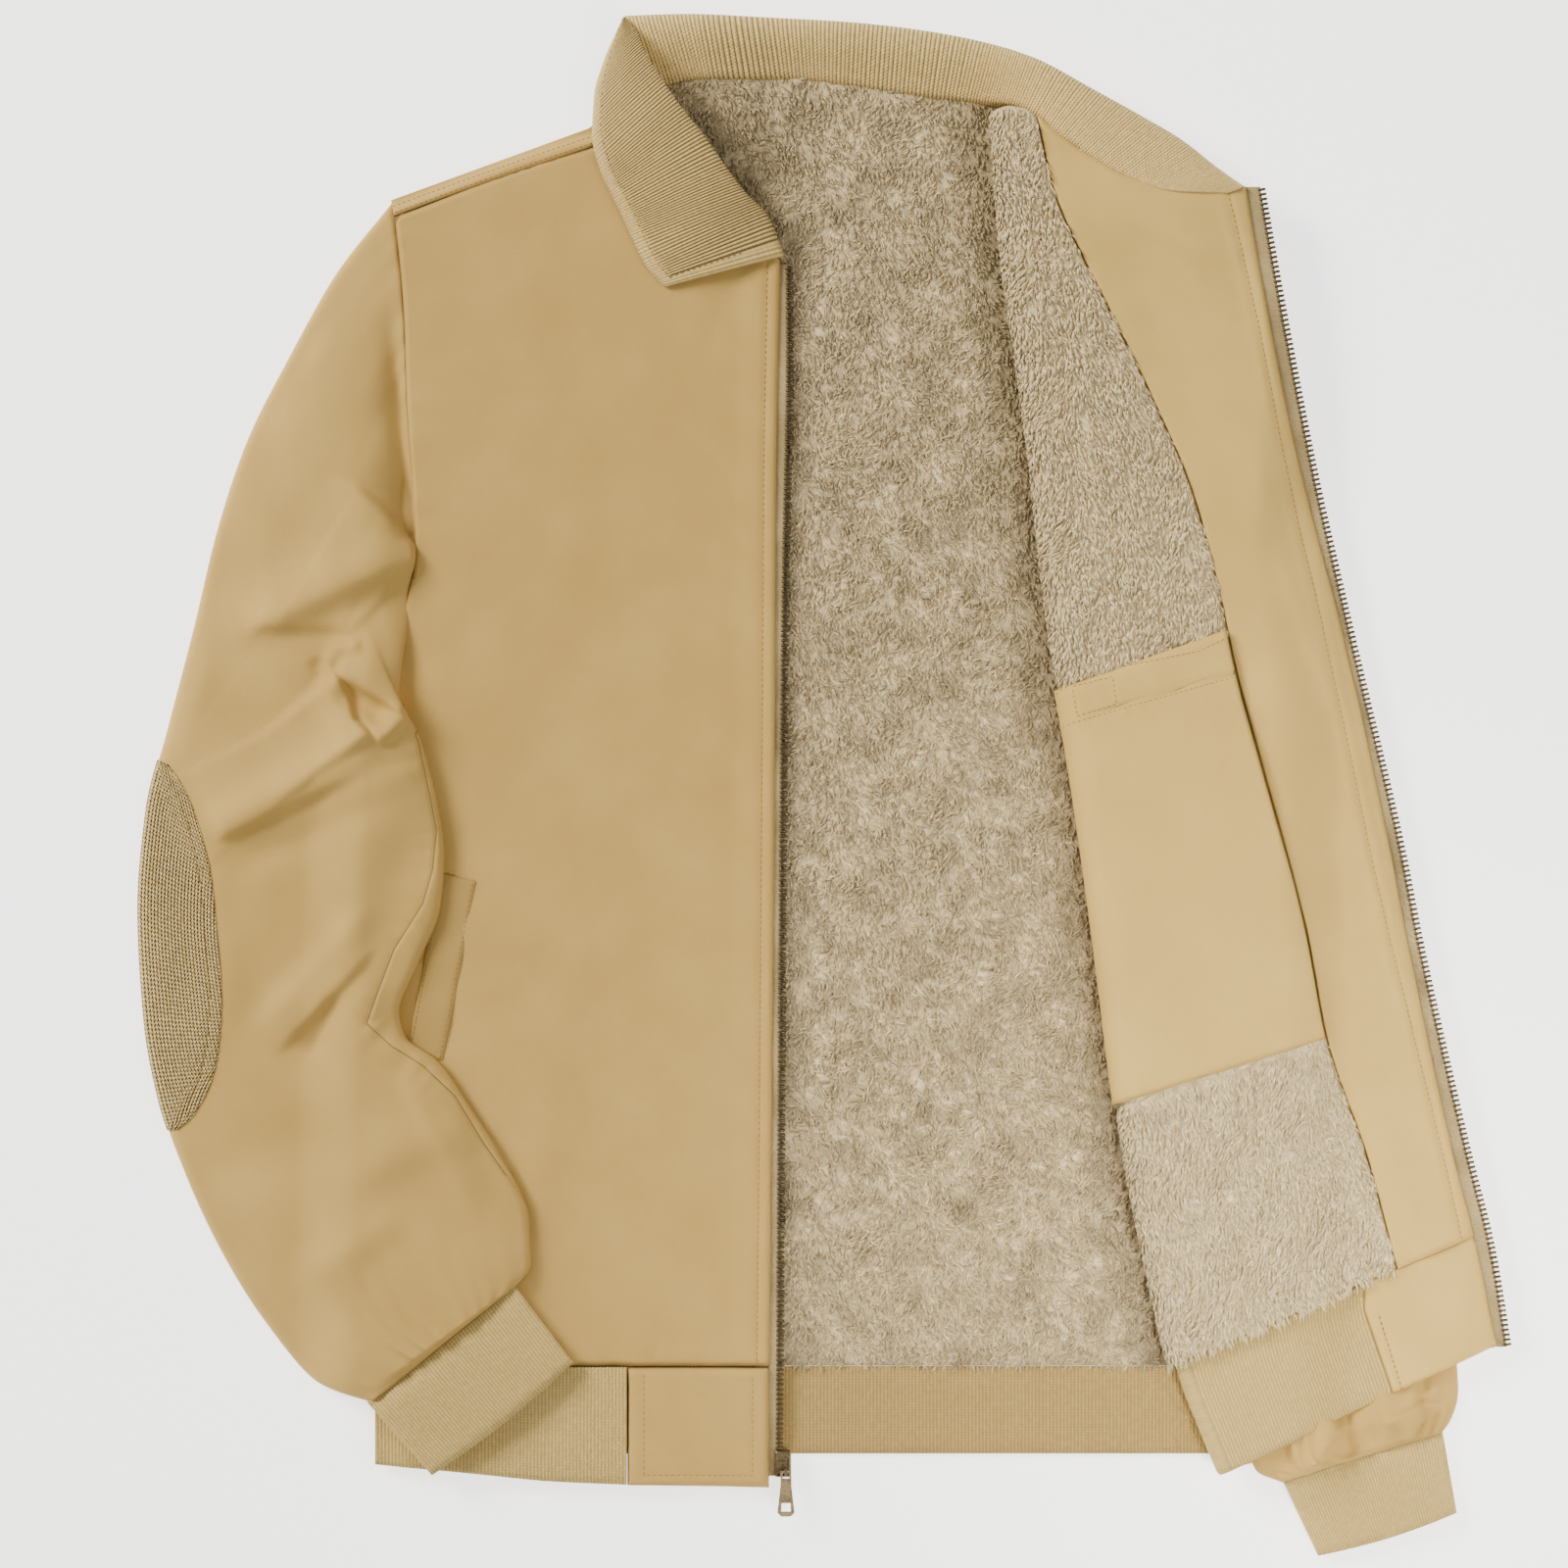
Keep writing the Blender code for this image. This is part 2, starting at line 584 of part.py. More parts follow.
def make_facing():
    """Shell facing along the front edge, rising a little to meet the fleece at its seam."""
    rows = []
    for y_fold in SHELL_ROWS:
        reaches = outer_reaches(y_fold)
        reaches[0] += GAP
        line = []
        for reach in reaches:
            rise = 1.4 * (1.0 - smooth(2.0, 20.0, reach - reaches[0]))
            line.append(on_flap(y_fold, reach, SHELL / 2 + GAP + rise))
        rows.append(line)
    sheet("facing_left", rows, SHELL, "shell")


def make_inner_pocket():
    rows = []
    lift = SHELL / 2 + GAP + PILE + GAP
    for y_fold in POCKET_ROWS:
        reaches = inner_reaches(y_fold)
        reaches[-1] -= 1.0
        line = fold_turn(y_fold, lift, (10, 35, 60))
        line += [on_flap(y_fold, reach, lift) for reach in reaches]
        rows.append(line)
    sheet("inner_pocket", rows, SHELL, "shell")


def make_left_hem():
    """Rib band of the left front, folded with it, and the shell piece at its end."""
    rib_rows, end_rows = [], []
    for y_fold in shares(3, FOLD_FOOT, HEM_ROW - 0.6):
        side, centre, way, length = flap_axis(y_fold)
        side_y = mix(HEM_Y - 1, SIDE_HEM_FOOT, (HEM_ROW - y_fold) / (HEM_ROW - FOLD_FOOT))
        line = []
        for across in shares(4)[:-1]:
            x = mix(SIDE_HEM_X, centre[0], across)
            y = mix(side_y, centre[1], across)
            line.append((x, y, BAND + GAP + 0.6 + BAND / 2))
        line += fold_turn(y_fold, 0.0, (-90, -45, 0, 45))
        cut = reach_to(y_fold, HEM_SPLIT)
        line += [on_flap(y_fold, (cut - 0.5) * share, 0.0) for share in shares(7)]
        rib_rows.append(line)
        lift = (BAND - SHELL) / 2 - 0.5
        end_rows.append([on_flap(y_fold, mix(cut + 0.5, length, share), lift) for share in shares(5)])
    sheet("hem_rib_left", rib_rows, END_WALL, "rib", side=0.0)
    sheet("hem_end_left", end_rows, END_WALL, "shell", side=0.0)


def make_left_zip():
    tape_rows, chain_rows = [], []
    for y in shares(14, -286.0, 300.0):
        edge = along(LEFT_EDGE, y)
        teeth = along(LEFT_TEETH, y)
        level = flap_level(edge, y) - SHELL / 2
        tape_rows.append([(edge + 0.8, y, level), (teeth - 1.1, y, level)])
        chain_rows.append([(teeth - 0.7, y, level), (teeth + 2.4, y, level)])
    sheet("zip_tape_left", tape_rows, TAPE, "tape")
    sheet("zip_chain_left", chain_rows, CHAIN, "brass")


def left_sleeve_point(down, across, lift):
    left_x, left_y, right_x, right_y = station(LEFT_SLEEVE, down)
    x = mix(left_x, right_x, across)
    y = mix(left_y, right_y, across)
    return x, y, left_carrier(x, y) + lift


def make_left_sleeve():
    downs = shares(20)[::-1]
    under = [[left_sleeve_point(down, across, 0.0) for across in LEFT_COLUMNS] for down in downs]
    sheet("sleeve_left_under", under, SHELL, "shell")
    top = [[left_sleeve_point(down, across, SHELL + GAP + LEFT_LOFT * 0.8 * sleeve_profile(across))
            for across in LEFT_COLUMNS] for down in downs]
    sheet("sleeve_left_top", top, SHELL, "shell")


# ---- collar

def make_leaf():
    """Fall of the right side: from its edge on the front up to the roll, and under it to the seam."""
    rows = []
    for roll_x, roll_y, roll_z, edge_x, edge_y, edge_z in [station(LEAF, s) for s in shares(14)]:
        run = (roll_x - edge_x, roll_y - edge_y)
        length = math.hypot(*run)
        line = []
        for share in (0.0, 0.12, 0.28, 0.45, 0.62, 0.78, 0.9):
            bow = 2.5 * math.sin(math.pi * share)
            z = mix(edge_z, roll_z - 1.0, smooth(-0.2, 1.0, share)) + bow
            line.append((edge_x + run[0] * share, edge_y + run[1] * share, z))
        drop = min(5.0, 0.5 * (roll_z - edge_z) + 0.8)
        line.append((roll_x - run[0] / length * 1.0, roll_y - run[1] / length * 1.0, roll_z - drop * 0.35))
        line.append((roll_x - run[0] / length * 2.6, roll_y - run[1] / length * 2.6, roll_z - drop * 1.25))
        rows.append(line)
    sheet("collar_leaf", rows, RIB, "rib", side=0.0)


def make_stand():
    """Stand round the back neck, rolled over at its upper edge, with the fall beneath it."""
    rows = []
    for seam_x, seam_y, seam_z, roll_x, roll_y, roll_z, fall_z in [station(STAND, s) for s in shares(22)]:
        run = (roll_x - seam_x, roll_y - seam_y)
        line = []
        for share in (0.0, 0.25, 0.5, 0.75):
            line.append((seam_x + run[0] * share, seam_y + run[1] * share,
                         mix(seam_z, roll_z, smooth(-0.3, 1.0, share))))
        length = math.hypot(*run)
        radius = min((roll_z - fall_z) / 2 - 0.6, length * 0.3)
        for angle in (60, 20, -20, -60):
            turn = math.radians(angle)
            back = radius * (1 - math.cos(turn)) + 1.3
            line.append((roll_x - run[0] / length * back, roll_y - run[1] / length * back,
                         roll_z - radius + radius * math.sin(turn)))
        for share in (0.62, 0.42, 0.24):
            line.append((seam_x + run[0] * share, seam_y + run[1] * share,
                         mix(fall_z, roll_z - 2 * radius, smooth(0.2, 0.9, share))))
        rows.append(line)
    sheet("collar_stand", rows, RIB, "rib", side=0.0)


# ---- slider and pull

def box(name, centre, size, finish, bevel):
    bm = bmesh.new()
    bmesh.ops.create_cube(bm, size=1.0)
    for vert in bm.verts:
        vert.co = [(centre[i] + vert.co[i] * size[i]) * MM for i in range(3)]
    piece = place(name, bm, finish)
    edges = piece.modifiers.new("Edges", "BEVEL")
    edges.width = bevel * MM
    edges.segments = 2
    return piece


def cut_plate(name, loops, thickness):
    """Closed plate from a flat outline and the holes in it."""
    outline = bpy.data.curves.new(name, "CURVE")
    outline.dimensions = "2D"
    outline.fill_mode = "BOTH"
    outline.extrude = thickness / 2 * MM
    for loop in loops:
        spline = outline.splines.new("POLY")
        spline.points.add(len(loop) - 1)
        for point, (x, y) in zip(spline.points, loop):
            point.co = (x * MM, y * MM, 0.0, 1.0)
        spline.use_cyclic_u = True
    flat = bpy.data.objects.new(name + "_outline", outline)
    jacket.objects.link(flat)
    graph = bpy.context.evaluated_depsgraph_get()
    bm = bmesh.new()
    bm.from_mesh(bpy.data.meshes.new_from_object(flat.evaluated_get(graph)))
    bpy.data.objects.remove(flat, do_unlink=True)
    bmesh.ops.remove_doubles(bm, verts=bm.verts, dist=1e-6)
    return bm


def make_slider():
    """Slider body with the crown, a small arch that holds the pull's end bar."""
    top = SLIDER_Z + SLIDER_SIZE[2]
    body = box("zip_slider", (*SLIDER, SLIDER_Z + SLIDER_SIZE[2] / 2), SLIDER_SIZE, "brass", 1.0)
    outer = CROWN_EYE + CROWN_WIRE
    foot = -CROWN_EYE - 1.0
    arch = ((-outer, foot), (-CROWN_EYE, foot), (-CROWN_EYE, CROWN_EYE), (CROWN_EYE, CROWN_EYE),
            (CROWN_EYE, foot), (outer, foot), (outer, outer - 0.6), (outer - 0.6, outer),
            (0.6 - outer, outer), (-outer, outer - 0.6))
    bm = cut_plate("crown", [arch], CROWN_WIDTH)
    stand = Matrix.Rotation(math.radians(90), 4, "Z") @ Matrix.Rotation(math.radians(90), 4, "X")
    spot = Matrix.Translation([CROWN_X * MM, CROWN_Y * MM, (top + CROWN_EYE) * MM])
    bmesh.ops.transform(bm, matrix=spot @ stand, verts=bm.verts)
    mesh = bpy.data.meshes.new("crown")
    bm.to_mesh(mesh)
    bm.free()
    crown = bpy.data.objects.new("crown", mesh)
    joins.objects.link(crown)
    crown.hide_render = True
    crown.display_type = "WIRE"
    union = body.modifiers.new("Crown", "BOOLEAN")
    union.operation = "UNION"
    union.solver = "EXACT"
    union.object = crown


def make_pull():
    """Flat tab: an eye round the crown's arch, widening to a foot with a slot."""
    top, foot = PULL_TOP / 2, PULL_FOOT / 2
    tab = ((-top, BAR), (top, BAR), (top, -7.0), (foot, 2.0 - PULL_LENGTH), (foot - 2.0, -PULL_LENGTH),
           (2.0 - foot, -PULL_LENGTH), (-foot, 2.0 - PULL_LENGTH), (-top, -7.0))
    eye_x, eye_y = PULL_EYE
    eye = ((-eye_x, -BAR), (-eye_x, -eye_y), (eye_x, -eye_y), (eye_x, -BAR))
    slot = ((-2.2, -16.0), (-2.5, -20.5), (2.5, -20.5), (2.2, -16.0))
    pull = place("zip_pull", cut_plate("pull", [tab, eye, slot], PULL_WALL), "brass")
    pull.location = (CROWN_X * MM, CROWN_Y * MM, (SLIDER_Z + SLIDER_SIZE[2] + CROWN_EYE) * MM)
    pull.rotation_euler = (math.radians(PULL_DROOP), 0.0, 0.0)


jacket = bpy.data.collections.new("fleece_lined_jacket")
bpy.context.scene.collection.children.link(jacket)
joins = bpy.data.collections.new("joins")
bpy.context.scene.collection.children.link(joins)

make_back()
make_right_front()
make_welt()
make_hem()
make_right_zip()
make_right_sleeve()
make_elbow_patch()
make_cuff("cuff_right", CUFF_RIGHT, lambda x, y: OVER_Z + 0.2)
make_left_front()
make_left_lining()
make_facing()
make_inner_pocket()
make_left_hem()
make_left_zip()
make_left_sleeve()
make_cuff("cuff_left", CUFF_LEFT, left_carrier)
make_leaf()
make_stand()
make_slider()
make_pull()
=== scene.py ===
import math
import bpy
import bmesh
import numpy as np
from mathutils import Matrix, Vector
from mathutils.bvhtree import BVHTree


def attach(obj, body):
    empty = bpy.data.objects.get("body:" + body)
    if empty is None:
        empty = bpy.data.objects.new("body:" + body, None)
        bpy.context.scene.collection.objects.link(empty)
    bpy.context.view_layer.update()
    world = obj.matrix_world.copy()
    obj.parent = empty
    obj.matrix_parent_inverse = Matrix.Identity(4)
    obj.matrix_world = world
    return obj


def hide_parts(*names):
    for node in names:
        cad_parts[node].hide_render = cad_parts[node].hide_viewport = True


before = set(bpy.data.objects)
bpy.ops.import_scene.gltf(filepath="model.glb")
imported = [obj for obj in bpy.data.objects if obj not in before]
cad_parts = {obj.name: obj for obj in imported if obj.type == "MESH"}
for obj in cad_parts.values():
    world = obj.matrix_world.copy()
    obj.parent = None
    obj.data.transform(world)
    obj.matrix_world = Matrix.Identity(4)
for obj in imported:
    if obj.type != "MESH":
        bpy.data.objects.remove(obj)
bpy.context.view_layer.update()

# A fleece-lined bomber jacket laid flat, its left front folded open. Lengths are in millimetres.
mm = 0.001
fullTurn, anyPhase = 6.283, (0, 6.28)

# thicknesses and levels, as the solids have them
walls = {"shell": 1.5, "pile": 4.0, "band": 3.4, "tape": 0.9, "gap": 0.4}
liningZ = walls["shell"] + walls["gap"]
seamZ = liningZ                                             # the front's level at its side seam
frontZ = liningZ + walls["pile"] + walls["gap"]
overZ = frontZ + 2 * (walls["shell"] + walls["gap"]) + 0.5     # on top of the front
shoulderY, underarmY, hemY = 299.0, 110.0, -297.0
sideRoll, drapeFar, drapeNear = 16.0, 42.0, 9.0
sleeveLoft, leftLoft = 10.0, 5.0
flapRise = walls["shell"] * 2 + walls["gap"] * 3 + leftLoft

# y, x of each edge
armholeAndSide = (
    (299, 221.0), (290, 219.0), (235, 214.0), (200, 213.0), (150, 210.0), (121, 208.5), (110, 209.0),
    (90, 213.0), (74, 216.5), (56, 220.0), (0, 222.5), (-100, 225.5), (-200, 227.5), (-360, 229.0))
rightFrontEdge = ((268, -22.0), (150, -24.0), (50, -24.5), (-150, -26.0), (-360, -28.0))
teethLine = ((266, -17.0), (220, -16.5), (120, -18.5), (50, -19.5), (-340, -22.0))
foldLine = (
    (336, 84.5), (280, 89.0), (210, 98.5), (172, 103.5), (82, 114.0), (0, 127.5), (-67, 137.0),
    (-190, 153.0), (-235, 161.5), (-304, 177.5), (-337, 190.5), (-354, 197.5))
leftEdge = (
    (304, 215.0), (256, 223.5), (199, 234.5), (124, 253.0), (83, 264.0), (-20, 287.0), (-67, 296.0),
    (-190, 322.0), (-232, 333.0), (-290, 345.0))
leftTeeth = (
    (305, 222.0), (240, 233.5), (170, 247.5), (70, 270.5), (-34, 295.0), (-78, 303.5), (-190, 329.0),
    (-236, 340.5), (-287, 349.0))
facingSeam = (
    (347, 103.0), (330, 108.5), (305, 115.5), (260, 136.5), (201, 165.5), (150, 187.5), (105, 200.0),
    (54, 211.0), (7, 224.0), (-72, 245.5), (-132, 257.5), (-190, 277.5), (-254, 294.5), (-300, 306.0))
# x, y of upper edges
backTop = (
    (-221, 299), (-120, 336), (-104, 347), (-80, 361.5), (-61, 363.5), (-21, 363.5), (10, 360.5),
    (45, 355.5), (78, 351), (104, 345), (120, 336), (221, 299))
rightFrontTop = ((-219, 290), (-120, 325), (-97, 329), (-72, 318), (-45, 295), (-22, 268))
neckLine = (            # x and how far the folded front's top rises there
    (84, 6.0), (90, 10.0), (95, 12.0), (101, 12.5), (110, 10.0), (119, 5.0), (138, -4.0), (157, -9.5),
    (178, -9.0), (203, -1.5), (215, 0.5))
# y on the fold, and y where that row of the folded front meets its edge
flapRows = (
    (336, 304), (280, 268), (210, 214), (130, 158), (49, 99), (-60, -6), (-163, -114), (-230, -172),
    (-297, -230), (-337, -270), (-354, -286))
foldTop, foldFoot, hemRow, pocketTop, pocketFoot = 336.0, -354.0, -297.0, 49.0, -163.0

# outer x, y and inner x, y down the right sleeve; left x, y and right x, y down the left one
rightSleeve = (
    (-221.8, 299, -209.0, 109), (-247, 265, -212, 82), (-273, 219, -216, 46), (-295, 175, -206, 25),
    (-310, 130, -197, -8), (-322, 80, -193, -36), (-335, 30, -195, -62), (-346, -14, -206, -90),
    (-350, -64, -216, -115), (-347, -119, -213, -128), (-340, -159, -196, -141), (-325, -202, -180, -164),
    (-307, -240, -164, -189), (-285, -275, -150, -220), (-257, -306, -149, -244), (-230, -315, -156, -255))
leftSleeve = (
    (145, 283, 224, 283), (130, 200, 230, 200), (133, 120, 242, 120), (143, 40, 255, 40),
    (155, -40, 272, -40), (170, -120, 290, -120), (188, -200, 308, -200), (205, -270, 321, -265),
    (214, -324, 325, -309), (221, -350, 321, -325), (234, -356, 317, -331))
# collar leaf: roll x, y, level and outer edge x, y, level
leafRows = (
    (-19, 270, 12, -81, 254, 9.5), (-28, 291, 19, -90, 264, 9.5), (-39, 302, 24, -98, 280, 9.5),
    (-49, 315, 27, -103, 291, 9.5), (-61, 332, 29, -109, 303, 9.5), (-73, 347, 29, -114, 314, 9.5),
    (-83, 362, 27, -118, 332, 9.5), (-91, 375, 24, -117, 352, 9.0), (-96, 386, 20, -112, 370, 8.8),
    (-101, 392, 16, -106, 384, 8.8))
# collar stand: neck seam x, y, level, roll x, y, level and level of the fall beneath it
standRows = (
    (-79, 361.6, 3.3, -95, 392, 15, 2.0), (-61, 363, 3.3, -68, 393, 15, 2.0),
    (-21, 363, 3.3, -25, 391, 15, 2.0), (10, 360, 3.3, 11, 389, 15, 2.0), (45, 355, 3.3, 48, 385, 15, 2.0),
    (77, 351, 4.6, 84, 378, 16, 3.5), (99, 347, 12.0, 108, 370, 18, 8.0),
    (118, 333.4, 22.0, 135, 355, 24, 12.5), (137, 320.6, 23.5, 160, 341, 25, 14.0),
    (156.5, 309.4, 23.5, 182, 328, 25, 14.0), (178.5, 302.6, 23.5, 200, 314, 24.6, 14.0),
    (206, 301.5, 22.5, 214, 304.2, 23.2, 14.0))


def smooth(low, high, value):
    share = np.clip((value - low) / (high - low), 0.0, 1.0)
    return share * share * (3.0 - 2.0 * share)


def mix(first, second, share):
    return first + (second - first) * share


def bell(value, width):
    return np.exp(-(value / width) ** 2)


def crestAt(ribs):
    # 0 in each groove, 1 on each rib
    return 0.5 - 0.5 * np.cos(2 * math.pi * ribs)


def rimDrop(gap, width):
    # how much a rounded rim falls: 1 at its end, nothing a width away
    return 1 - np.sqrt(np.clip(gap / width, 0, 1))


def roundEdge(gap, radius):
    # a quarter circle, from 0 at the edge to 1 a radius away
    return np.sqrt(np.clip(1 - (1 - np.clip(gap / radius, 0, 1)) ** 2, 0, 1))


def readTable(table, value, column=1):
    # a smooth reading of one column at a value of the first, with no overshoot
    rows = np.array(sorted(table), float)
    keys, reads = rows[:, 0], rows[:, column]
    rises = np.diff(reads) / np.diff(keys)
    slopes = np.zeros(len(keys))
    slopes[0], slopes[-1] = rises[0], rises[-1]
    product = rises[:-1] * rises[1:]
    slopes[1:-1] = np.where(product > 0, 2 * product / np.where(product > 0, rises[:-1] + rises[1:], 1), 0)
    value = np.clip(value, keys[0], keys[-1])
    at = np.clip(np.searchsorted(keys, value, side="right") - 1, 0, len(keys) - 2)
    width = keys[at + 1] - keys[at]
    t = (value - keys[at]) / width
    return (reads[at] * (1 + 2 * t) * (1 - t) ** 2 + reads[at + 1] * t * t * (3 - 2 * t)
            + slopes[at] * width * t * (1 - t) ** 2 - slopes[at + 1] * width * t * t * (1 - t))


def stationAt(table, share):
    # every column of a table, a share of the way down it
    numbered = [(i,) + tuple(row) for i, row in enumerate(table)]
    return [readTable(numbered, share * (len(table) - 1), k + 1) for k in range(len(table[0]))]


def softWaves(x, y, size, seed):
    # uneven swells about one high either way
    rng = np.random.default_rng(seed)
    total = 0.0
    for _ in range(7):
        turn, wave, start = rng.uniform(*anyPhase), size * rng.uniform(0.7, 1.7), rng.uniform(*anyPhase)
        total = total + np.sin(fullTurn * (x * math.cos(turn) + y * math.sin(turn)) / wave + start)
    return total / 3.2


def lineReach(line, x, y):
    # signed distance from a bent line, positive on its left, and the way along it
    points = np.array(line, float)
    away = np.full(np.broadcast(x, y).shape, 1e6)
    along = np.zeros(away.shape)
    gone = 0.0
    for (ax, ay), (bx, by) in zip(points[:-1], points[1:]):
        runX, runY = bx - ax, by - ay
        length = math.hypot(runX, runY)
        t = np.clip(((x - ax) * runX + (y - ay) * runY) / length ** 2, 0, 1)
        gap = np.hypot(x - ax - t * runX, y - ay - t * runY)
        side = np.where(runX * (y - ay) - runY * (x - ax) >= 0, 1.0, -1.0)
        near = gap < np.abs(away)
        away = np.where(near, gap * side, away)
        along = np.where(near, gone + t * length, along)
        gone += length
    return away, along


def creaseHeight(creases, x, y):
    # startX, startY, endX, endY, half width, height, lean: soft ridges and troughs, steeper on one side
    total = 0.0
    for startX, startY, endX, endY, halfWidth, height, lean in creases:
        runX, runY = endX - startX, endY - startY
        length = math.hypot(runX, runY)
        t = ((x - startX) * runX + (y - startY) * runY) / length ** 2
        off = ((x - startX) * runY - (y - startY) * runX) / length
        fade = smooth(-0.15, 0.25, t) * (1 - smooth(0.75, 1.15, t))
        total = total + height * fade * bell(off, halfWidth * np.where(off > 0, 1 - lean, 1 + lean))
    return total


def foldEdges(edges, x, y):
    # cloth lapped over itself along a line: high on the line's left, falling away sharply on its right
    total = 0.0
    for height, fall, run, fadeIn, fadeOut, line in edges:
        away, along = lineReach(line, x, y)
        length = sum(math.dist(a, b) for a, b in zip(line[:-1], line[1:]))
        fade = smooth(0, fadeIn, along) * smooth(0, fadeOut, length - along)
        total = total + height * fade * np.where(away > 0, 1 / (1 + (away / run) ** 2),
                                                 smooth(-fall, 0, away))
    return total


def pucker(away, along, reach, pitch, seed):
    # small gathers square to a seam, uneven and dying away from it
    rng = np.random.default_rng(seed)
    a, b = rng.uniform(*anyPhase, 2)
    phase = fullTurn * along / pitch + 1.6 * np.sin(along / pitch * 1.7 + a)
    phase = phase + 1.1 * np.sin(along / pitch * 0.61 + b)
    strength = 0.65 + 0.35 * np.sin(along / pitch * 0.9 + b * 2)
    return np.exp(-(np.abs(away) / reach) ** 1.4) * np.sin(phase) * strength


# levels of what lies on what

def sideX(y):
    return readTable(armholeAndSide, y)


def frontLevel(x, y):
    onSide = 1 - smooth(underarmY - 78, underarmY - 44, y)
    return frontZ - (frontZ - seamZ) * onSide * (1 - smooth(0, sideRoll, sideX(y) - np.abs(x)))


def placketLevel(x, y):
    inward = readTable(rightFrontEdge, y) - x
    return frontLevel(x, y) + (walls["tape"] + walls["gap"]) * (1 - smooth(9, 22, inward))


def rightCarrier(x, y):
    # what the right sleeve lies on
    beside = smooth(underarmY - 52, underarmY - 8, y)
    return (1 - beside) * overZ * smooth(-drapeFar, -drapeNear, sideX(y) - np.abs(x))


def leftCarrier(x, y):
    # what the left sleeve lies on
    onBody = overZ * (1 - smooth(drapeNear, drapeFar, np.abs(x) - sideX(y)))
    return onBody * smooth(-374, -346, y)


def flapLevel(x, y):
    # middle of the folded front's shell
    sleeveRight = readTable([(row[3], row[2]) for row in leftSleeve], y)
    past = smooth(4, 30, x - sleeveRight)
    return leftCarrier(x, y) + mix(flapRise, 4.5, past * smooth(-372, -300, y)) + walls["shell"] / 2


# materials

def addNode(tree, kind, links=(), **settings):
    # links: input index or name, and a socket or a fixed value
    made = tree.nodes.new("ShaderNode" + kind)
    for key, value in settings.items():
        setattr(made, key, value)
    for key, value in links:
        if isinstance(value, bpy.types.NodeSocket):
            tree.links.new(value, made.inputs[key])
        else:
            made.inputs[key].default_value = value
    return made


class Sums:
    # arithmetic in one node tree: sums.add(a, b) makes the node and gives its output
    def __init__(self, tree):
        self.tree = tree

    def __getattr__(self, operation):
        return lambda *values: addNode(self.tree, "Math", enumerate((*values, 0.0, 0.0)[:3]),
                                       operation=operation.upper()).outputs[0]


def groupOf(name, inputs, outputs):
    # a group of plain numbers, its inner sockets and its arithmetic
    group = bpy.data.node_groups.new(name, "ShaderNodeTree")
    for label, value in inputs.items():
        group.interface.new_socket(label, in_out="INPUT", socket_type="NodeSocketFloat").default_value = value
    for label in outputs:
        group.interface.new_socket(label, in_out="OUTPUT", socket_type="NodeSocketFloat")
    start, end = group.nodes.new("NodeGroupInput"), group.nodes.new("NodeGroupOutput")
    return group, start.outputs, end.inputs, Sums(group)


def useGroup(tree, group, **values):
    return addNode(tree, "Group", values.items(), node_tree=group).outputs


def clothCoords(tree):
    # metres along the cloth: the map, then its two parts
    laid = addNode(tree, "UVMap", uv_map="cloth").outputs[0]
    return (laid, *addNode(tree, "SeparateXYZ", [(0, laid)]).outputs[:2])


def noiseOf(tree, vector, scale, detail, rough=0.5):
    links = [("Vector", vector), ("Scale", scale), ("Detail", detail), ("Roughness", rough)]
    return addNode(tree, "TexNoise", links).outputs[0]


def valueOf(tree, label):
    return addNode(tree, "Attribute", attribute_name=label).outputs["Fac"]


# fine slanted weave, with slubs
twill, given, result, sums = groupOf("twillWeave", {"Pitch": 0.0007, "Slub": 0.4}, ("Height", "Tone"))
laid, u, v = clothCoords(twill)
slant = sums.divide(sums.add(u, sums.multiply(v, 0.8)), given["Pitch"])
lines = sums.sine(sums.multiply(slant, fullTurn))
cross = sums.sine(sums.multiply(sums.divide(v, given["Pitch"]), fullTurn))
slubPlace = addNode(twill, "CombineXYZ",
                    [(0, sums.multiply(u, 300.0)), (1, sums.multiply(v, 1400.0))]).outputs[0]
slub = noiseOf(twill, slubPlace, 1.0, 2.0)
weaveHeight = sums.multiply_add(lines, 0.35, sums.multiply(cross, 0.15))
twill.links.new(sums.multiply_add(slub, given["Slub"], weaveHeight), result["Height"])
twill.links.new(sums.multiply_add(sums.subtract(slub, 0.5), 0.35, noiseOf(twill, laid, 22.0, 3.0)),
                result["Tone"])

# knitted stitches: small slanted loops either side of each rib's crest
knit, given, result, sums = groupOf("knitLoops", {"Rib": 0.0018, "Row": 0.0012}, ("Height", "Tone"))
laid, u, v = clothCoords(knit)
lean = sums.multiply(sums.pingpong(sums.divide(u, given["Rib"]), 0.5), 1.2)
loops = sums.sine(sums.multiply(sums.add(sums.divide(v, given["Row"]), lean), fullTurn))
knit.links.new(loops, result["Height"])
knit.links.new(sums.multiply_add(loops, 0.06, noiseOf(knit, laid, 380.0, 4.0)), result["Tone"])

# matted pile, combed along the cloth
pile, given, result, sums = groupOf("mattedPile", {"Width": 0.0012, "Length": 0.004}, ("Height", "Tone"))
laid, u, v = clothCoords(pile)
swirl = noiseOf(pile, laid, 70.0, 1.0)
bend = sums.multiply(sums.subtract(swirl, 0.5), 0.02)
combed = addNode(pile, "CombineXYZ", [(0, sums.divide(sums.add(u, bend), given["Width"])),
                                      (1, sums.divide(v, given["Length"]))]).outputs[0]
strands = noiseOf(pile, combed, 1.3, 3.0, 0.6)
pile.links.new(strands, result["Height"])
pile.links.new(sums.multiply_add(strands, 0.7, sums.multiply(swirl, 0.3)), result["Tone"])

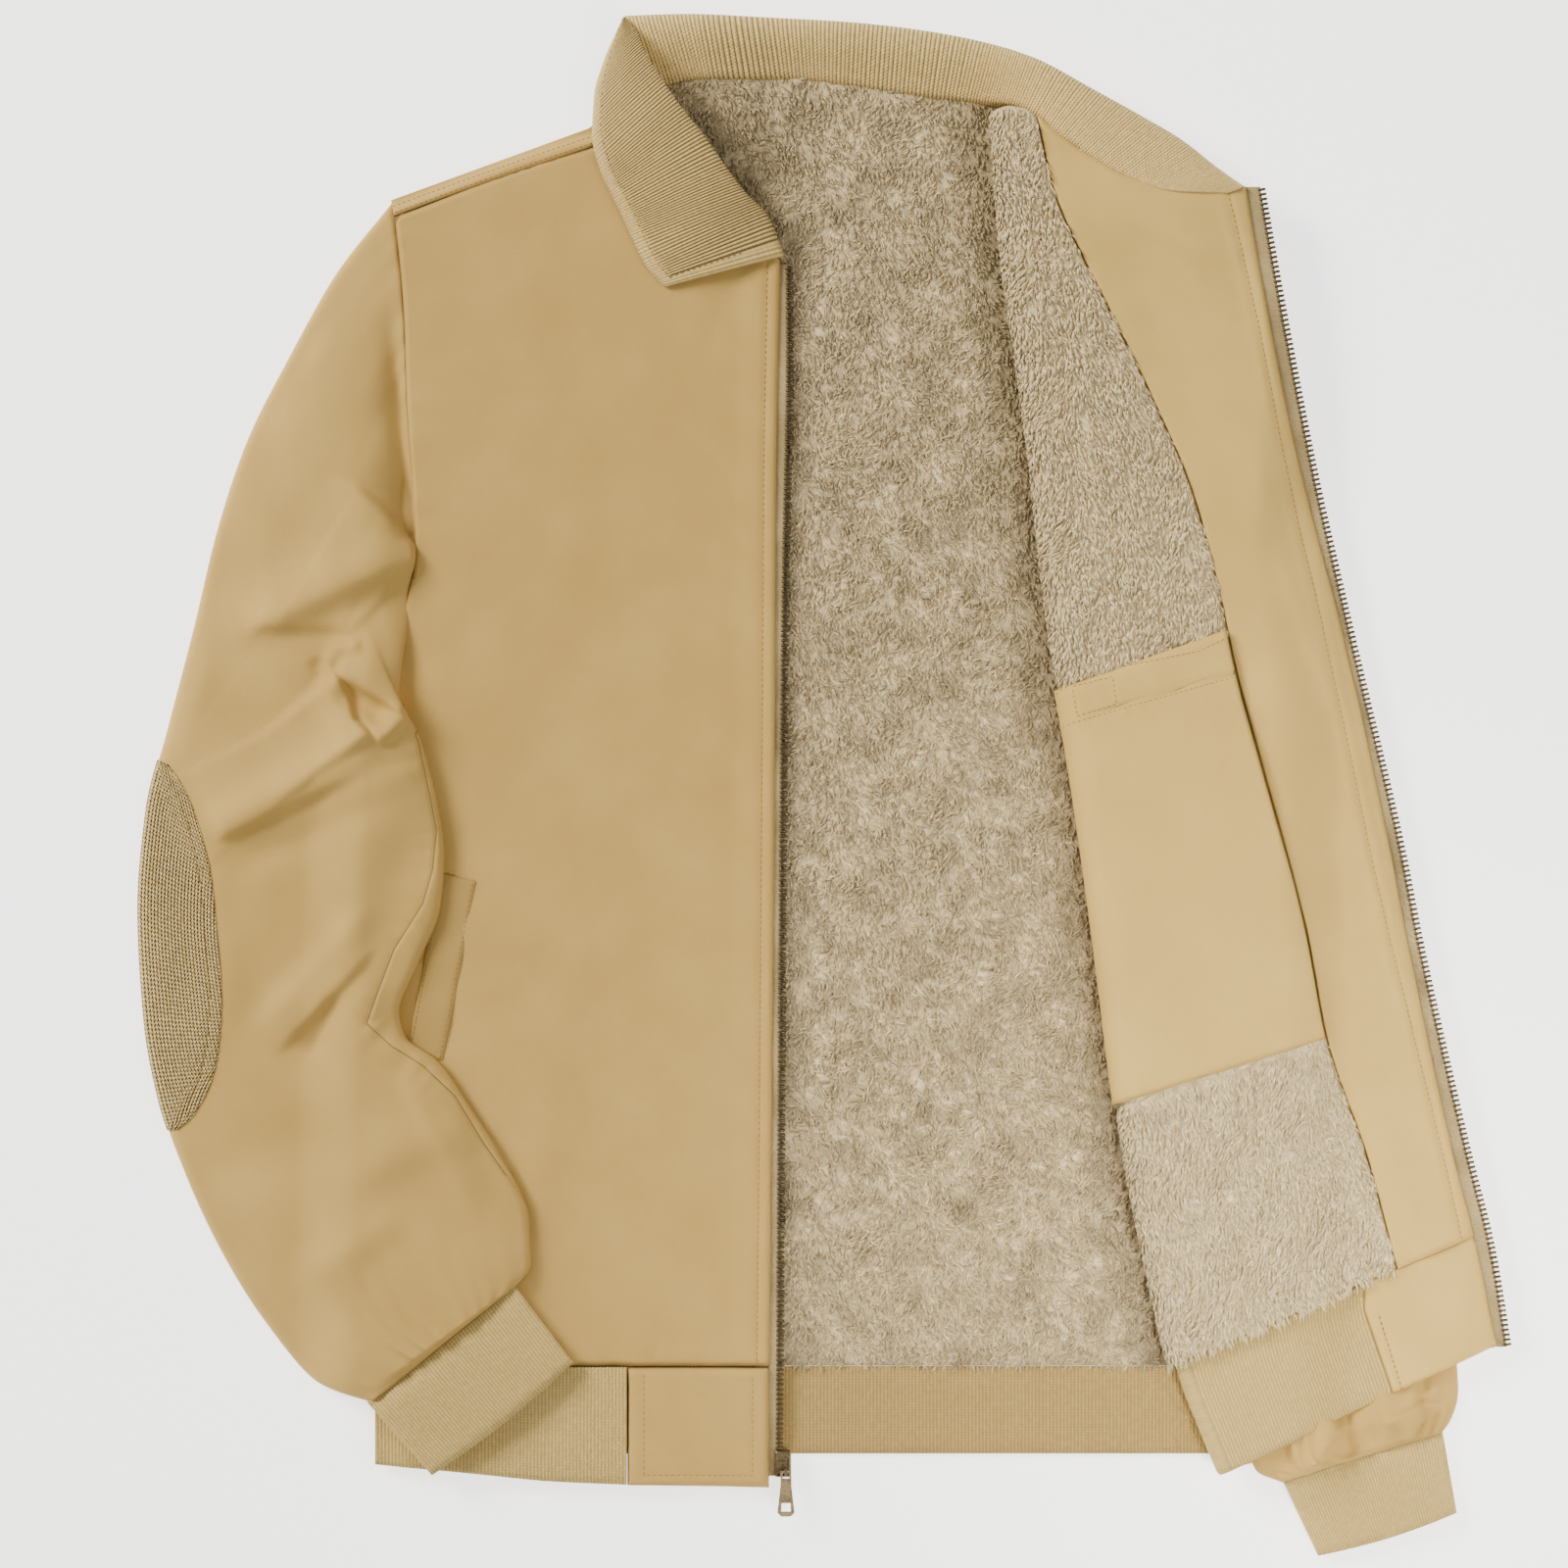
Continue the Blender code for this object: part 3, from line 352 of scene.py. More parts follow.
# a thin dark line and a dip where a seam is sewn, from the piece's own distances
seam, given, result, sums = groupOf("seamDip", {"Width": 0.5, "Dip": 2.0}, ("Line", "Height"))
seamGap = sums.absolute(valueOf(seam, "seamGap"))
line = sums.subtract(1.0, sums.smooth_min(1.0, sums.divide(seamGap, given["Width"]), 0.3))
dip = sums.minimum(1.0, sums.divide(seamGap, given["Dip"]))
seam.links.new(sums.maximum(line, 0.0), result["Line"])
seam.links.new(sums.power(dip, 0.5), result["Height"])


def colourRamp(tree, value, low, high, start=0.3, end=0.7):
    ramp = addNode(tree, "ValToRGB", [(0, value)])
    for element, place, colour in zip(ramp.color_ramp.elements, (start, end), (low, high)):
        element.position, element.color = place, (*colour, 1)
    return ramp.outputs[0]


def blendColour(tree, share, first, second):
    mixer = addNode(tree, "Mix", data_type="RGBA", blend_type="MIX")
    for socket, value in ((mixer.inputs[0], share), (mixer.inputs[6], first), (mixer.inputs[7], second)):
        if isinstance(value, bpy.types.NodeSocket):
            tree.links.new(value, socket)
        else:
            socket.default_value = (*value, 1)
    return mixer.outputs[2]


def times(colour, share):
    return tuple(c * share for c in colour)


sheenLook = {"tint": (1.0, 0.82, 0.48), "rough": 0.45, "specular": 0.2}


def newMaterial(name, rough, sheen=0.0, metal=0.0):
    made = bpy.data.materials.new(name)
    made.use_nodes = True
    shader = made.node_tree.nodes["Principled BSDF"]
    for label, value in (("Roughness", rough), ("Metallic", metal), ("Sheen Weight", sheen),
                         ("Sheen Roughness", sheenLook["rough"]), ("Sheen Tint", (*sheenLook["tint"], 1)),
                         ("Specular IOR Level", sheenLook["specular"])):
        shader.inputs[label].default_value = value
    return made, made.node_tree, shader


def bumpInto(tree, shader, height, strength, distance, before=None):
    links = [("Height", height), ("Strength", strength), ("Distance", distance)]
    if before is not None:
        links.append(("Normal", before))
    bump = addNode(tree, "Bump", links)
    tree.links.new(bump.outputs[0], shader.inputs["Normal"])
    return bump.outputs[0]


def weaveMaterial(name, low, high, rough=0.7, sheen=0.06, pitch=0.0007, slub=0.4, bumpBy=0.25):
    made, tree, shader = newMaterial(name, rough, sheen)
    weave, sewn = useGroup(tree, twill, Pitch=pitch, Slub=slub), useGroup(tree, seam)
    base = colourRamp(tree, weave["Tone"], low, high, 0.25, 0.75)
    tree.links.new(blendColour(tree, sewn["Line"], base, times(low, 0.42)), shader.inputs["Base Color"])
    woven = bumpInto(tree, shader, weave["Height"], bumpBy, 0.0003)
    bumpInto(tree, shader, sewn["Height"], 0.6, 0.0012, woven)
    return made


def ribMaterial(name, low, high, rib=0.0018, row=0.0013, groove=0.72, rows=0.05):
    made, tree, shader = newMaterial(name, 0.85, 0.15)
    sums = Sums(tree)
    knitted = useGroup(tree, knit, Rib=rib, Row=row)
    base = colourRamp(tree, knitted["Tone"], low, high, 0.3, 0.75)
    raised = sums.maximum(sums.multiply_add(knitted["Height"], rows, valueOf(tree, "crest")), 0.0)
    # painted shade: the grooves between ribs take the darker tone scaled by groove, the crests the knit's own
    # tones
    tree.links.new(blendColour(tree, raised, times(low, groove), base), shader.inputs["Base Color"])
    bumpInto(tree, shader, knitted["Height"], 0.5, 0.0004)
    return made


def pileMaterial(name, low, high, width=0.0012, length=0.004):
    # the mat under the locks
    made, tree, shader = newMaterial(name, 0.95, 0.35)
    matted = useGroup(tree, pile, Width=width, Length=length)
    base = colourRamp(tree, matted["Tone"], low, high, 0.35, 0.62)
    # painted shade from the shade value: at 0 the mat takes half its darker tone
    tree.links.new(blendColour(tree, valueOf(tree, "shade"), times(low, 0.5), base),
                   shader.inputs["Base Color"])
    bumpInto(tree, shader, matted["Height"], 0.9, 0.0015)
    return made


def lockMaterial(name, root, tip):
    # the locks, darker at their roots than at their tips
    made, tree, shader = newMaterial(name, 0.9, 0.4)
    sums = Sums(tree)
    share = sums.multiply_add(valueOf(tree, "tuft"), 0.45, sums.multiply(valueOf(tree, "reach"), 0.6))
    base = colourRamp(tree, share, root, tip, 0.0, 0.9)
    # painted shade from the shade value: at 0 the locks take 0.45 of their root tone
    tree.links.new(blendColour(tree, valueOf(tree, "shade"), times(root, 0.45), base),
                   shader.inputs["Base Color"])
    hairs = noiseOf(tree, addNode(tree, "TexCoord").outputs["Object"], 1600.0, 2.0)
    bumpInto(tree, shader, hairs, 0.5, 0.0004)
    return made


def metalMaterial(name, low, high):
    # dull in its hollows, rubbed bright on its edges
    made, tree, shader = newMaterial(name, 0.38, 0.0, 1.0)
    sums = Sums(tree)
    spots = noiseOf(tree, addNode(tree, "TexCoord").outputs["Object"], 700.0, 4.0)
    edge = sums.subtract(addNode(tree, "NewGeometry").outputs["Pointiness"], 0.5)
    worn = sums.add(sums.multiply(spots, 0.6), sums.multiply(edge, 3.0))
    tree.links.new(colourRamp(tree, worn, low, high, 0.2, 0.55), shader.inputs["Base Color"])
    tree.links.new(sums.multiply_add(spots, 0.25, 0.25), shader.inputs["Roughness"])
    bumpInto(tree, shader, spots, 0.15, 0.0002)
    return made


# the darker and the lighter tone of each cloth
colours = {
    "shell": ((0.470, 0.298, 0.079), (0.540, 0.347, 0.099)),
    # the facing's tones are the shell's made about a third lighter: painted light for the brighter
    # folded-open front
    "facing": ((0.60, 0.395, 0.108), (0.69, 0.465, 0.134)),
    "rib": ((0.58, 0.41, 0.140), (0.81, 0.59, 0.220)),
    # the back band's tones are the front band's at about 0.7: painted shade on the back hem band
    "backRib": ((0.43, 0.285, 0.092), (0.60, 0.415, 0.146)),
    "collar": ((0.80, 0.54, 0.19), (1.0, 0.76, 0.31)),
    "patch": ((0.60, 0.38, 0.12), (1.0, 0.79, 0.37)),
    # the back pile's tones, darker than the flap pile's, are painted shade for the shade inside the jacket
    "shadedBackPile": ((0.20, 0.137, 0.062), (0.98, 0.79, 0.465)),
    "flapPile": ((0.52, 0.37, 0.182), (1.0, 0.85, 0.52)),
    "tape": ((0.22, 0.155, 0.065), (0.56, 0.42, 0.20)),
    "brass": ((0.012, 0.009, 0.005), (0.11, 0.082, 0.042)),
    "thread": (0.25, 0.140, 0.045)}
dullBrass, paleBrass = colours["brass"]

shellCloth = weaveMaterial("shellTwill", *colours["shell"])
litFacingCloth = weaveMaterial("facingTwillPaintedLight", *colours["facing"])
# painted shade: the shell's twill at 0.8, for the sleeve's shadow over the welt
shadedWeltCloth = weaveMaterial("weltTwillPaintedShade", *(times(tone, 0.8) for tone in colours["shell"]))
tapeCloth = weaveMaterial("tapeWeave", *colours["tape"], 0.8, 0.1, 0.0014, 0.5, 0.6)
threadCloth = weaveMaterial("sewingThread", colours["thread"], times(colours["thread"], 1.3), 0.6, 0.2,
                            0.0004)
ribCloth = ribMaterial("hemRib", *colours["rib"])
shadedBackRibCloth = ribMaterial("backHemRib", *colours["backRib"])
# deeper painted shade in the grooves: 0.14 of the darker tone on the collar, 0.04 on the patch
collarCloth = ribMaterial("collarRib", *colours["collar"], 0.0016, 0.0011, 0.14, 0.12)
patchCloth = ribMaterial("patchCord", *colours["patch"], 0.00185, 0.0021, 0.04, 0.4)
shadedBackPile = pileMaterial("shadedBackPile", *colours["shadedBackPile"])
flapPile = pileMaterial("flapPile", *colours["flapPile"], 0.0016, 0.005)
backLocks = lockMaterial("backLocks", *colours["shadedBackPile"])
flapLocks = lockMaterial("flapLocks", *colours["flapPile"])
brass = metalMaterial("antiqueBrass", dullBrass, paleBrass)
# lighter copies of the brass for the slider and the pull: painted light, for their brighter look
sliderLitBrass = metalMaterial("sliderLitBrass", dullBrass, times(paleBrass, 1.8))
pullLitBrass = metalMaterial("pullBrassPaintedLight", times(dullBrass, 3.0), times(paleBrass, 3.2))
print("materials made")


# making pieces

noSeam = 9.0            # a distance from which no seam shows


def show(name, mesh, finish, replaced):
    piece = bpy.data.objects.new(name, mesh)
    bpy.context.scene.collection.objects.link(piece)
    mesh.materials.append(finish)
    mesh.polygons.foreach_set("use_smooth", np.ones(len(mesh.polygons), bool))
    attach(piece, "jacket")
    if replaced:
        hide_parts(*replaced)
    return piece


def putValues(mesh, label, values):
    flat = np.ascontiguousarray(values, np.float32).ravel()
    mesh.attributes.new(label, "FLOAT", "POINT").data.foreach_set("value", flat)


def clothPiece(name, points, thick, side, finish, slot, replaced=(), ring=False, cut=None, **values):
    # a grid laid through points, rows by columns, that gets its wall from Solidify
    points = np.stack(points, axis=2) if isinstance(points, tuple) else points
    rows, columns = points.shape[:2]
    bm = bmesh.new()
    bm.loops.layers.uv.new("cloth")
    bmesh.ops.create_grid(bm, x_segments=columns - 1, y_segments=rows - 1, size=1.0, calc_uvs=True)
    mesh = bpy.data.meshes.new(name)
    bm.to_mesh(mesh)
    bm.free()
    flat = np.zeros(rows * columns * 3)
    mesh.vertices.foreach_get("co", flat)
    flat = flat.reshape(-1, 3)
    order = np.lexsort((np.round(flat[:, 0], 5), np.round(flat[:, 1], 5)))
    placed = np.zeros((rows * columns, 3))
    placed[order] = points.reshape(-1, 3) * mm
    if cut is None:
        stepAcross = np.linalg.norm(np.diff(points, axis=1), axis=2)
        across = np.concatenate((np.zeros((rows, 1)), np.cumsum(stepAcross, axis=1)), axis=1)
        across -= across[:, columns // 2][:, None]
        stepAlong = np.linalg.norm(np.diff(points, axis=0), axis=2).mean(axis=1)
        along = np.concatenate(([0.0], np.cumsum(stepAlong)))[:, None] + 0 * across
    else:
        across = np.linspace(0, cut[0], columns)[None, :] + np.zeros((rows, 1))
        along = np.linspace(0, cut[1], rows)[:, None] + np.zeros((1, columns))
    laid = np.zeros((rows * columns, 2))
    laid[order] = np.stack((across, along), axis=2).reshape(-1, 2) * mm
    corners = np.zeros(len(mesh.loops), np.int32)
    mesh.loops.foreach_get("vertex_index", corners)
    mesh.uv_layers["cloth"].data.foreach_set("uv", laid[corners].ravel())
    mesh.vertices.foreach_set("co", placed.ravel())
    for label, value in values.items():
        ordered = np.zeros(rows * columns)
        ordered[order] = np.broadcast_to(value, (rows, columns)).ravel()
        putValues(mesh, label, ordered)
    if ring:
        bm = bmesh.new()
        bm.from_mesh(mesh)
        bmesh.ops.remove_doubles(bm, verts=bm.verts, dist=1e-6)
        bm.to_mesh(mesh)
        bm.free()
    mesh.update()
    piece = show(name, mesh, finish, replaced)
    if thick:
        wall = piece.modifiers.new("wall", "SOLIDIFY")
        wall.thickness, wall.offset = thick * mm, side
    return piece


def gridOf(rowValues, columnValues):
    return np.meshgrid(np.asarray(rowValues, float), np.asarray(columnValues, float), indexing="ij")


def panelPoints(left, right, top, bottomY, highY, rows, across):
    # x and y between two side lines, from a straight hem up to a shaped upper edge
    up, over = gridOf(np.linspace(0, 1, rows), across)
    yRow = mix(bottomY, highY, up)
    x = mix(left(yRow), right(yRow), over)
    return x, mix(bottomY, top(x), up)


def joinedCopies(name, shape, spots, frames, finish, slot, replaced=(), **values):
    # one mesh of many small copies: frames hold each copy's three directions with their sizes
    bmesh.ops.triangulate(shape, faces=shape.faces)
    shape.verts.index_update()
    corner = np.array([vert.co for vert in shape.verts])
    faces = np.array([[vert.index for vert in face.verts] for face in shape.faces])
    shape.free()
    count = len(spots)
    placed = (spots[:, None, :] + np.einsum("vk,nkj->nvj", corner, frames)) * mm
    loopsAt = (faces[None] + (np.arange(count) * len(corner))[:, None, None]).reshape(-1)
    mesh = bpy.data.meshes.new(name)
    mesh.vertices.add(count * len(corner))
    mesh.vertices.foreach_set("co", placed.ravel())
    mesh.loops.add(len(loopsAt))
    mesh.loops.foreach_set("vertex_index", loopsAt.astype(np.int32))
    mesh.polygons.add(len(loopsAt) // 3)
    mesh.polygons.foreach_set("loop_start", np.arange(0, len(loopsAt), 3, dtype=np.int32))
    mesh.update(calc_edges=True)
    for label, value in values.items():
        putValues(mesh, label, value(corner) if callable(value) else np.repeat(value, len(corner)))
    return show(name, mesh, finish, replaced)


def lockShape():
    # a plump wisp that rises from its root and lies over at its tip
    rootLength, tipLength, belly = 0.45, 0.55, 0.5
    bm = bmesh.new()
    bmesh.ops.create_cone(bm, cap_ends=False, segments=3, radius1=0.32, radius2=belly, depth=rootLength)
    bmesh.ops.create_cone(bm, cap_ends=False, segments=3, radius1=belly, radius2=0.0, depth=tipLength)
    for i, vert in enumerate(bm.verts):
        vert.co.z += rootLength / 2 if i < 6 else rootLength + tipLength / 2
    bmesh.ops.remove_doubles(bm, verts=bm.verts, dist=1e-4)
    for vert in bm.verts:
        far = vert.co.z
        thin = 0.6 + 0.4 * (far < 0.9)
        rise = 0.9 * math.sin(min(far, 0.75) / 0.75 * math.pi / 2) - 0.25 * max(0.0, far - 0.6)
        vert.co = (far, vert.co.y, rise + vert.co.x * 0.45 * thin)
    return bm


def furOn(name, points, keep, count, size, turnBy, finish, seed, shadeOf):
    # locks strewn over a sheet's points; keep says where, and size holds their length, width and height
    rng = np.random.default_rng(seed)
    low, right, up = points[:-1, :-1], points[:-1, 1:], points[1:, :-1]
    centre = (low + points[1:, 1:]) / 2
    area = np.linalg.norm(np.cross(right - low, up - low), axis=2)
    weight = (area * keep(centre[..., 0], centre[..., 1])).ravel()
    pick = rng.choice(weight.size, size=count, p=weight / weight.sum())
    row, column = np.unravel_index(pick, area.shape)
    a, b = rng.uniform(0, 1, (2, count, 1))
    spots = (points[row, column] * (1 - a) * (1 - b) + points[row, column + 1] * a * (1 - b)
             + points[row + 1, column] * (1 - a) * b + points[row + 1, column + 1] * a * b)
    across = points[row, column + 1] - points[row, column]
    along = points[row + 1, column] - points[row, column]
    normal = np.cross(across, along)
    normal /= np.linalg.norm(normal, axis=1)[:, None]
    down = -along / np.linalg.norm(along, axis=1)[:, None]
    beside = np.cross(normal, down)
    turn = turnBy(spots[:, 0], spots[:, 1]) + rng.normal(0, size["spread"], count)
    head = down * np.cos(turn)[:, None] + beside * np.sin(turn)[:, None]
    side = np.cross(normal, head)
    vary = rng.uniform(0.7, 1.3, (3, count, 1))
    frames = np.stack((head * size["length"] * vary[0], side * size["width"] * vary[1],
                       normal * size["height"] * vary[2]), axis=1)
    rootDepth = 0.3
    return joinedCopies(name, lockShape(), spots - normal * rootDepth, frames, finish, "fleece",
                        tuft=rng.uniform(0, 1, count), shade=shadeOf(spots[:, 0], spots[:, 1]),
                        reach=lambda corner: np.tile(corner[:, 0], count))


def spaced(line, step):
    # points every step along a bent line, with their directions
    points = np.array(line, float)
    gone = np.concatenate(([0.0], np.cumsum(np.linalg.norm(np.diff(points, axis=0), axis=1))))
    at = np.arange(step / 2, gone[-1], step)
    behind, spots, ahead = (np.column_stack([np.interp(reach, gone, points[:, k]) for k in (0, 1)])
                            for reach in (at - 0.5, at, at + 0.5))
    way = ahead - behind
    return spots, way / np.linalg.norm(way, axis=1)[:, None]


def dropOn(tree, spots):
    # heights and normals straight below points
    placed, normals = [], []
    for x, y in spots[:, :2]:
        hit, normal, _, _ = tree.ray_cast(Vector((x * mm, y * mm, 0.2)), Vector((0, 0, -1)))
        placed.append((x, y, hit.z / mm) if hit else (x, y, math.nan))
        normals.append(tuple(normal) if normal else (0, 0, 1))
    return np.array(placed), np.array(normals)


def sewRows(name, piece, rows, slot="shell", size=(2.2, 0.55, 0.35)):
    # stitches along lines on a piece, sunk a little into it; size is length, width, height
    between, lift = 0.9, 0.15
    tree = BVHTree.FromObject(piece, bpy.context.evaluated_depsgraph_get())
    spots, frames = [], []
    for line in rows:
        at, way = spaced(line, size[0] + between)
        placed, normals = dropOn(tree, at)
        good = ~np.isnan(placed[:, 2])
        placed, normals, way = placed[good], normals[good], way[good]
        run = np.column_stack((way, np.zeros(len(way))))
        run -= normals * np.sum(run * normals, axis=1)[:, None]
        run /= np.linalg.norm(run, axis=1)[:, None]
        side = np.cross(normals, run)
        spots.append(placed + normals * size[2] * lift)
        frames.append(np.stack((run * size[0] / 2, side * size[1] / 2, normals * size[2]), axis=1))
    shape = bmesh.new()
    bmesh.ops.create_icosphere(shape, subdivisions=1, radius=1.0)
    spots, frames = np.concatenate(spots), np.concatenate(frames)
    return joinedCopies(name, shape, spots, frames, threadCloth, slot, seamGap=np.full(len(spots), noSeam))


def offsetLine(line, by):
    # a line moved to its left
    points = np.array(line, float)
    way = np.gradient(points, axis=0)
    way /= np.linalg.norm(way, axis=1)[:, None]
    return points + np.column_stack((-way[:, 1], way[:, 0])) * by


def ribWave(count, columns):
    # a crest for each rib over evenly spaced columns
    return crestAt(count * np.linspace(0, 1, columns))


# camera, floor and light

stage = {"cameraHeight": 4.0, "frameWidth": 0.80, "frameLevel": 0.012, "sensor": 36.0,
         "centre": (-0.020, 0.0005), "key": 400.0, "fill": 24.0, "flap": 1.1, "sky": 0.48,
         "warmth": (1.0, 0.955, 0.865), "paper": (0.96, 0.96, 0.96), "paperGlow": 1.9}
cameraData = bpy.data.cameras.new("camera")
cameraData.sensor_width = stage["sensor"]
cameraData.lens = stage["sensor"] * (stage["cameraHeight"] - stage["frameLevel"]) / stage["frameWidth"]
cameraData.clip_end = 50.0
camera = bpy.data.objects.new("camera", cameraData)
camera.location = (*stage["centre"], stage["cameraHeight"])
bpy.context.scene.collection.objects.link(camera)
bpy.context.scene.camera = camera

bm = bmesh.new()
bmesh.ops.create_grid(bm, x_segments=1, y_segments=1, size=6.0)
floorMesh = bpy.data.meshes.new("floor")
bm.to_mesh(floorMesh)
bm.free()
floor = bpy.data.objects.new("floor", floorMesh)
floor.location.z = -0.0005
bpy.context.scene.collection.objects.link(floor)
paper, _, paperShader = newMaterial("paper", 0.9)
paperShader.inputs["Base Color"].default_value = (*stage["paper"], 1)
paperShader.inputs["Emission Color"].default_value = (1.0, 1.0, 1.0, 1)
paperShader.inputs["Emission Strength"].default_value = stage["paperGlow"]
floorMesh.materials.append(paper)

world = bpy.data.worlds.new("studio")
bpy.context.scene.world = world
world.use_nodes = True
world.node_tree.nodes["Background"].inputs[0].default_value = (1.0, 1.0, 1.0, 1)
world.node_tree.nodes["Background"].inputs[1].default_value = stage["sky"]
lamps = (               # name, power, size, place, what it points at, spread
    ("key", stage["key"], 1.9, (-3.6, 2.4, 2.6), (0, 0, 0), 180),
    ("fill", stage["fill"], 2.0, (1.6, -0.6, 1.8), (0, 0, 0), 180),
    ("flapLight", stage["flap"], 0.5, (0.75, -0.75, 1.5), (0.29, -0.30, 0), 26))
for name, power, size, spot, aim, spread in lamps:
    lamp = bpy.data.lights.new(name, "AREA")
    lamp.energy, lamp.size, lamp.color, lamp.spread = power, size, stage["warmth"], math.radians(spread)
    holder = bpy.data.objects.new(name, lamp)
    holder.location = spot
    holder.rotation_euler = (Vector(aim) - Vector(spot)).to_track_quat("-Z", "Y").to_euler()
    bpy.context.scene.collection.objects.link(holder)
print("camera, floor and light set")


# back and its fleece

back = {"wall": 1.4, "level": 1.5, "rows": 50, "columns": 36}
x, y = panelPoints(lambda v: -sideX(v), sideX, lambda x: readTable(backTop, x), hemY, shoulderY, back["rows"],
                   np.linspace(0, 1, back["columns"]))
z = back["level"] - 0.1 * smooth(0.985, 1.0, np.abs(x) / sideX(y))
backPiece = clothPiece("backShell", (x, y, z), back["wall"], -1, shellCloth, "shell", ["back"],
                       seamGap=noSeam)

backFleece = {"mat": 2.2, "locks": 11900, "lock": {"length": 4.4, "width": 1.4, "height": 1.6, "spread": 0.5}}


def backInset(y):
    return mix(4.0, sideRoll, 1 - smooth(underarmY + 12, underarmY + 40, y)) + 5.0


across = np.concatenate((np.linspace(0, 0.42, 8)[:-1], np.linspace(0.42, 0.93, 62)[:-1],
                         np.linspace(0.93, 1, 6)))
x, y = panelPoints(lambda v: -sideX(v) + backInset(v), lambda v: sideX(v) - backInset(v),
                   lambda x: readTable(backTop, x) - 1.6 - 11.0 * smooth(92, 108, np.abs(x)),
                   hemY + 0.5, shoulderY - 10, 170, across)


def backPaintedShade(x, y):
    # painted shade: darker where the front and the collar lie close and shade it, with random clumps of
    # lighter and darker tone
    nearFold = smooth(2, 26, readTable(foldLine, y) - x)
    nearZip = smooth(-14, 2, x)
    corner = 1 - 0.55 * np.exp(-(((x + 52) / 26) ** 2 + ((y - 318) / 34) ** 2))
    clumps = 0.9 + 0.14 * softWaves(x, y, 34, 13) + 0.08 * softWaves(x, y, 13, 14)
    return np.clip((0.55 + 0.45 * nearFold * (0.6 + 0.4 * nearZip)) * clumps, 0, 1) * corner


nearEnd = smooth(0, 6, y - (hemY + 5))
z = liningZ + mix(1.0, 2.4, nearEnd) + 0.45 * softWaves(x, y, 26, 4) + 0.3 * softWaves(x, y, 9, 5)
backPoints = np.stack((x, y, z), axis=2)
backMat = clothPiece("backFleeceMat", backPoints, backFleece["mat"], -1, shadedBackPile, "fleece", ["back_lining"],
                     shade=backPaintedShade(x, y))


def backTurn(x, y):
    return 0.9 * softWaves(x, y, 70, 11) + 0.5 * softWaves(x, y, 24, 12)


def backShown(x, y):
    # left of the fold, and right of the zip or up in the neck
    return ((x > -34) | (y > 262)) * (x > -92) * (x < readTable(foldLine, y) + 14)


for part, low, high, seed in (("backFleeceUpper", 20, 380, 21), ("backFleeceLower", -310, 20, 22)):
    furOn(part, backPoints, lambda x, y: backShown(x, y) * (y > low) * (y < high), backFleece["locks"],
          backFleece["lock"], backTurn, backLocks, seed, backPaintedShade)
print("back and its fleece made")

# right front

rightFront = {"wall": 1.2, "placketStitch": 6.5, "hemPucker": 0.55, "placketPucker": 0.3}
frontCreases = (        # start x, y, end x, y, half width, height, lean
    (-206, 60, -150, 20, 16, 1.6, 0.2), (-200, -60, -120, -120, 26, 1.3, 0.0),
    (-60, 230, -150, 150, 30, 1.0, 0.0), (-60, -60, -80, -260, 22, 0.9, 0.3),
    (-140, -120, -150, -290, 12, 1.0, 0.2), (-100, 60, -110, -100, 24, 0.8, 0.0),
    (-50, 290, -70, 250, 8, 0.9, 0.2), (-40, 270, -60, 220, 7, -0.7, 0.0))


def rightFrontTopZ(x, y):
    inward = readTable(rightFrontEdge, y) - x
    z = placketLevel(x, y) + 1.4
    fromStitch = inward - rightFront["placketStitch"]
    z += 0.5 * bell(inward - 3.0, 2.8) - 0.55 * bell(fromStitch, 1.3) - 1.3 * rimDrop(inward, 1.8)
    z += rightFront["placketPucker"] * pucker(fromStitch, y, 9, 9.5, 31)
    z += rightFront["hemPucker"] * pucker(y - hemY, x, 22, 17, 32) * smooth(0, 5, inward - 8)
    z += 0.45 * pucker(sideX(y) - np.abs(x), y, 16, 21, 33) * smooth(100, 140, y)
    z += creaseHeight(frontCreases, x, y) * smooth(2, 14, inward)
    z += 0.35 * softWaves(x, y, 120, 34) + 0.2 * softWaves(x, y, 38, 37)
    return z - 0.8 * (1 - smooth(0, 3, y - hemY))


edges = np.array([0, 0.4, 0.9, 1.4, 2.0, 3, 4, 5, 6, 6.8, 7.8, 9.2, 11])      # closer rows at the placket
frontWidth = 196.0
across = np.concatenate((np.linspace(0, 1 - 13 / frontWidth, 64)[:-1], 1 - edges[::-1] / frontWidth))
up, over = gridOf(np.linspace(0, 1, 180), across)
x = mix(-sideX(mix(hemY, 290, up)), readTable(rightFrontEdge, mix(hemY, 268, up)), over)
y = mix(hemY, readTable(rightFrontTop, x), up)
fromTop = np.where(x < -118, readTable(rightFrontTop, x) - y, noSeam)
fromArmhole = np.where(y > 104, x + sideX(y), noSeam)
gapTo = np.minimum(fromTop, np.minimum(y - hemY, fromArmhole))
frontPiece = clothPiece("rightFront", (x, y, rightFrontTopZ(x, y)), rightFront["wall"], -1, shellCloth,
                        "shell", ["front_right"], seamGap=np.clip(gapTo, 0, noSeam))
ys = np.linspace(266, -296, 60)
placketRow = np.column_stack((readTable(rightFrontEdge, ys) - rightFront["placketStitch"], ys))
sewRows("rightFrontStitches", frontPiece, [placketRow])

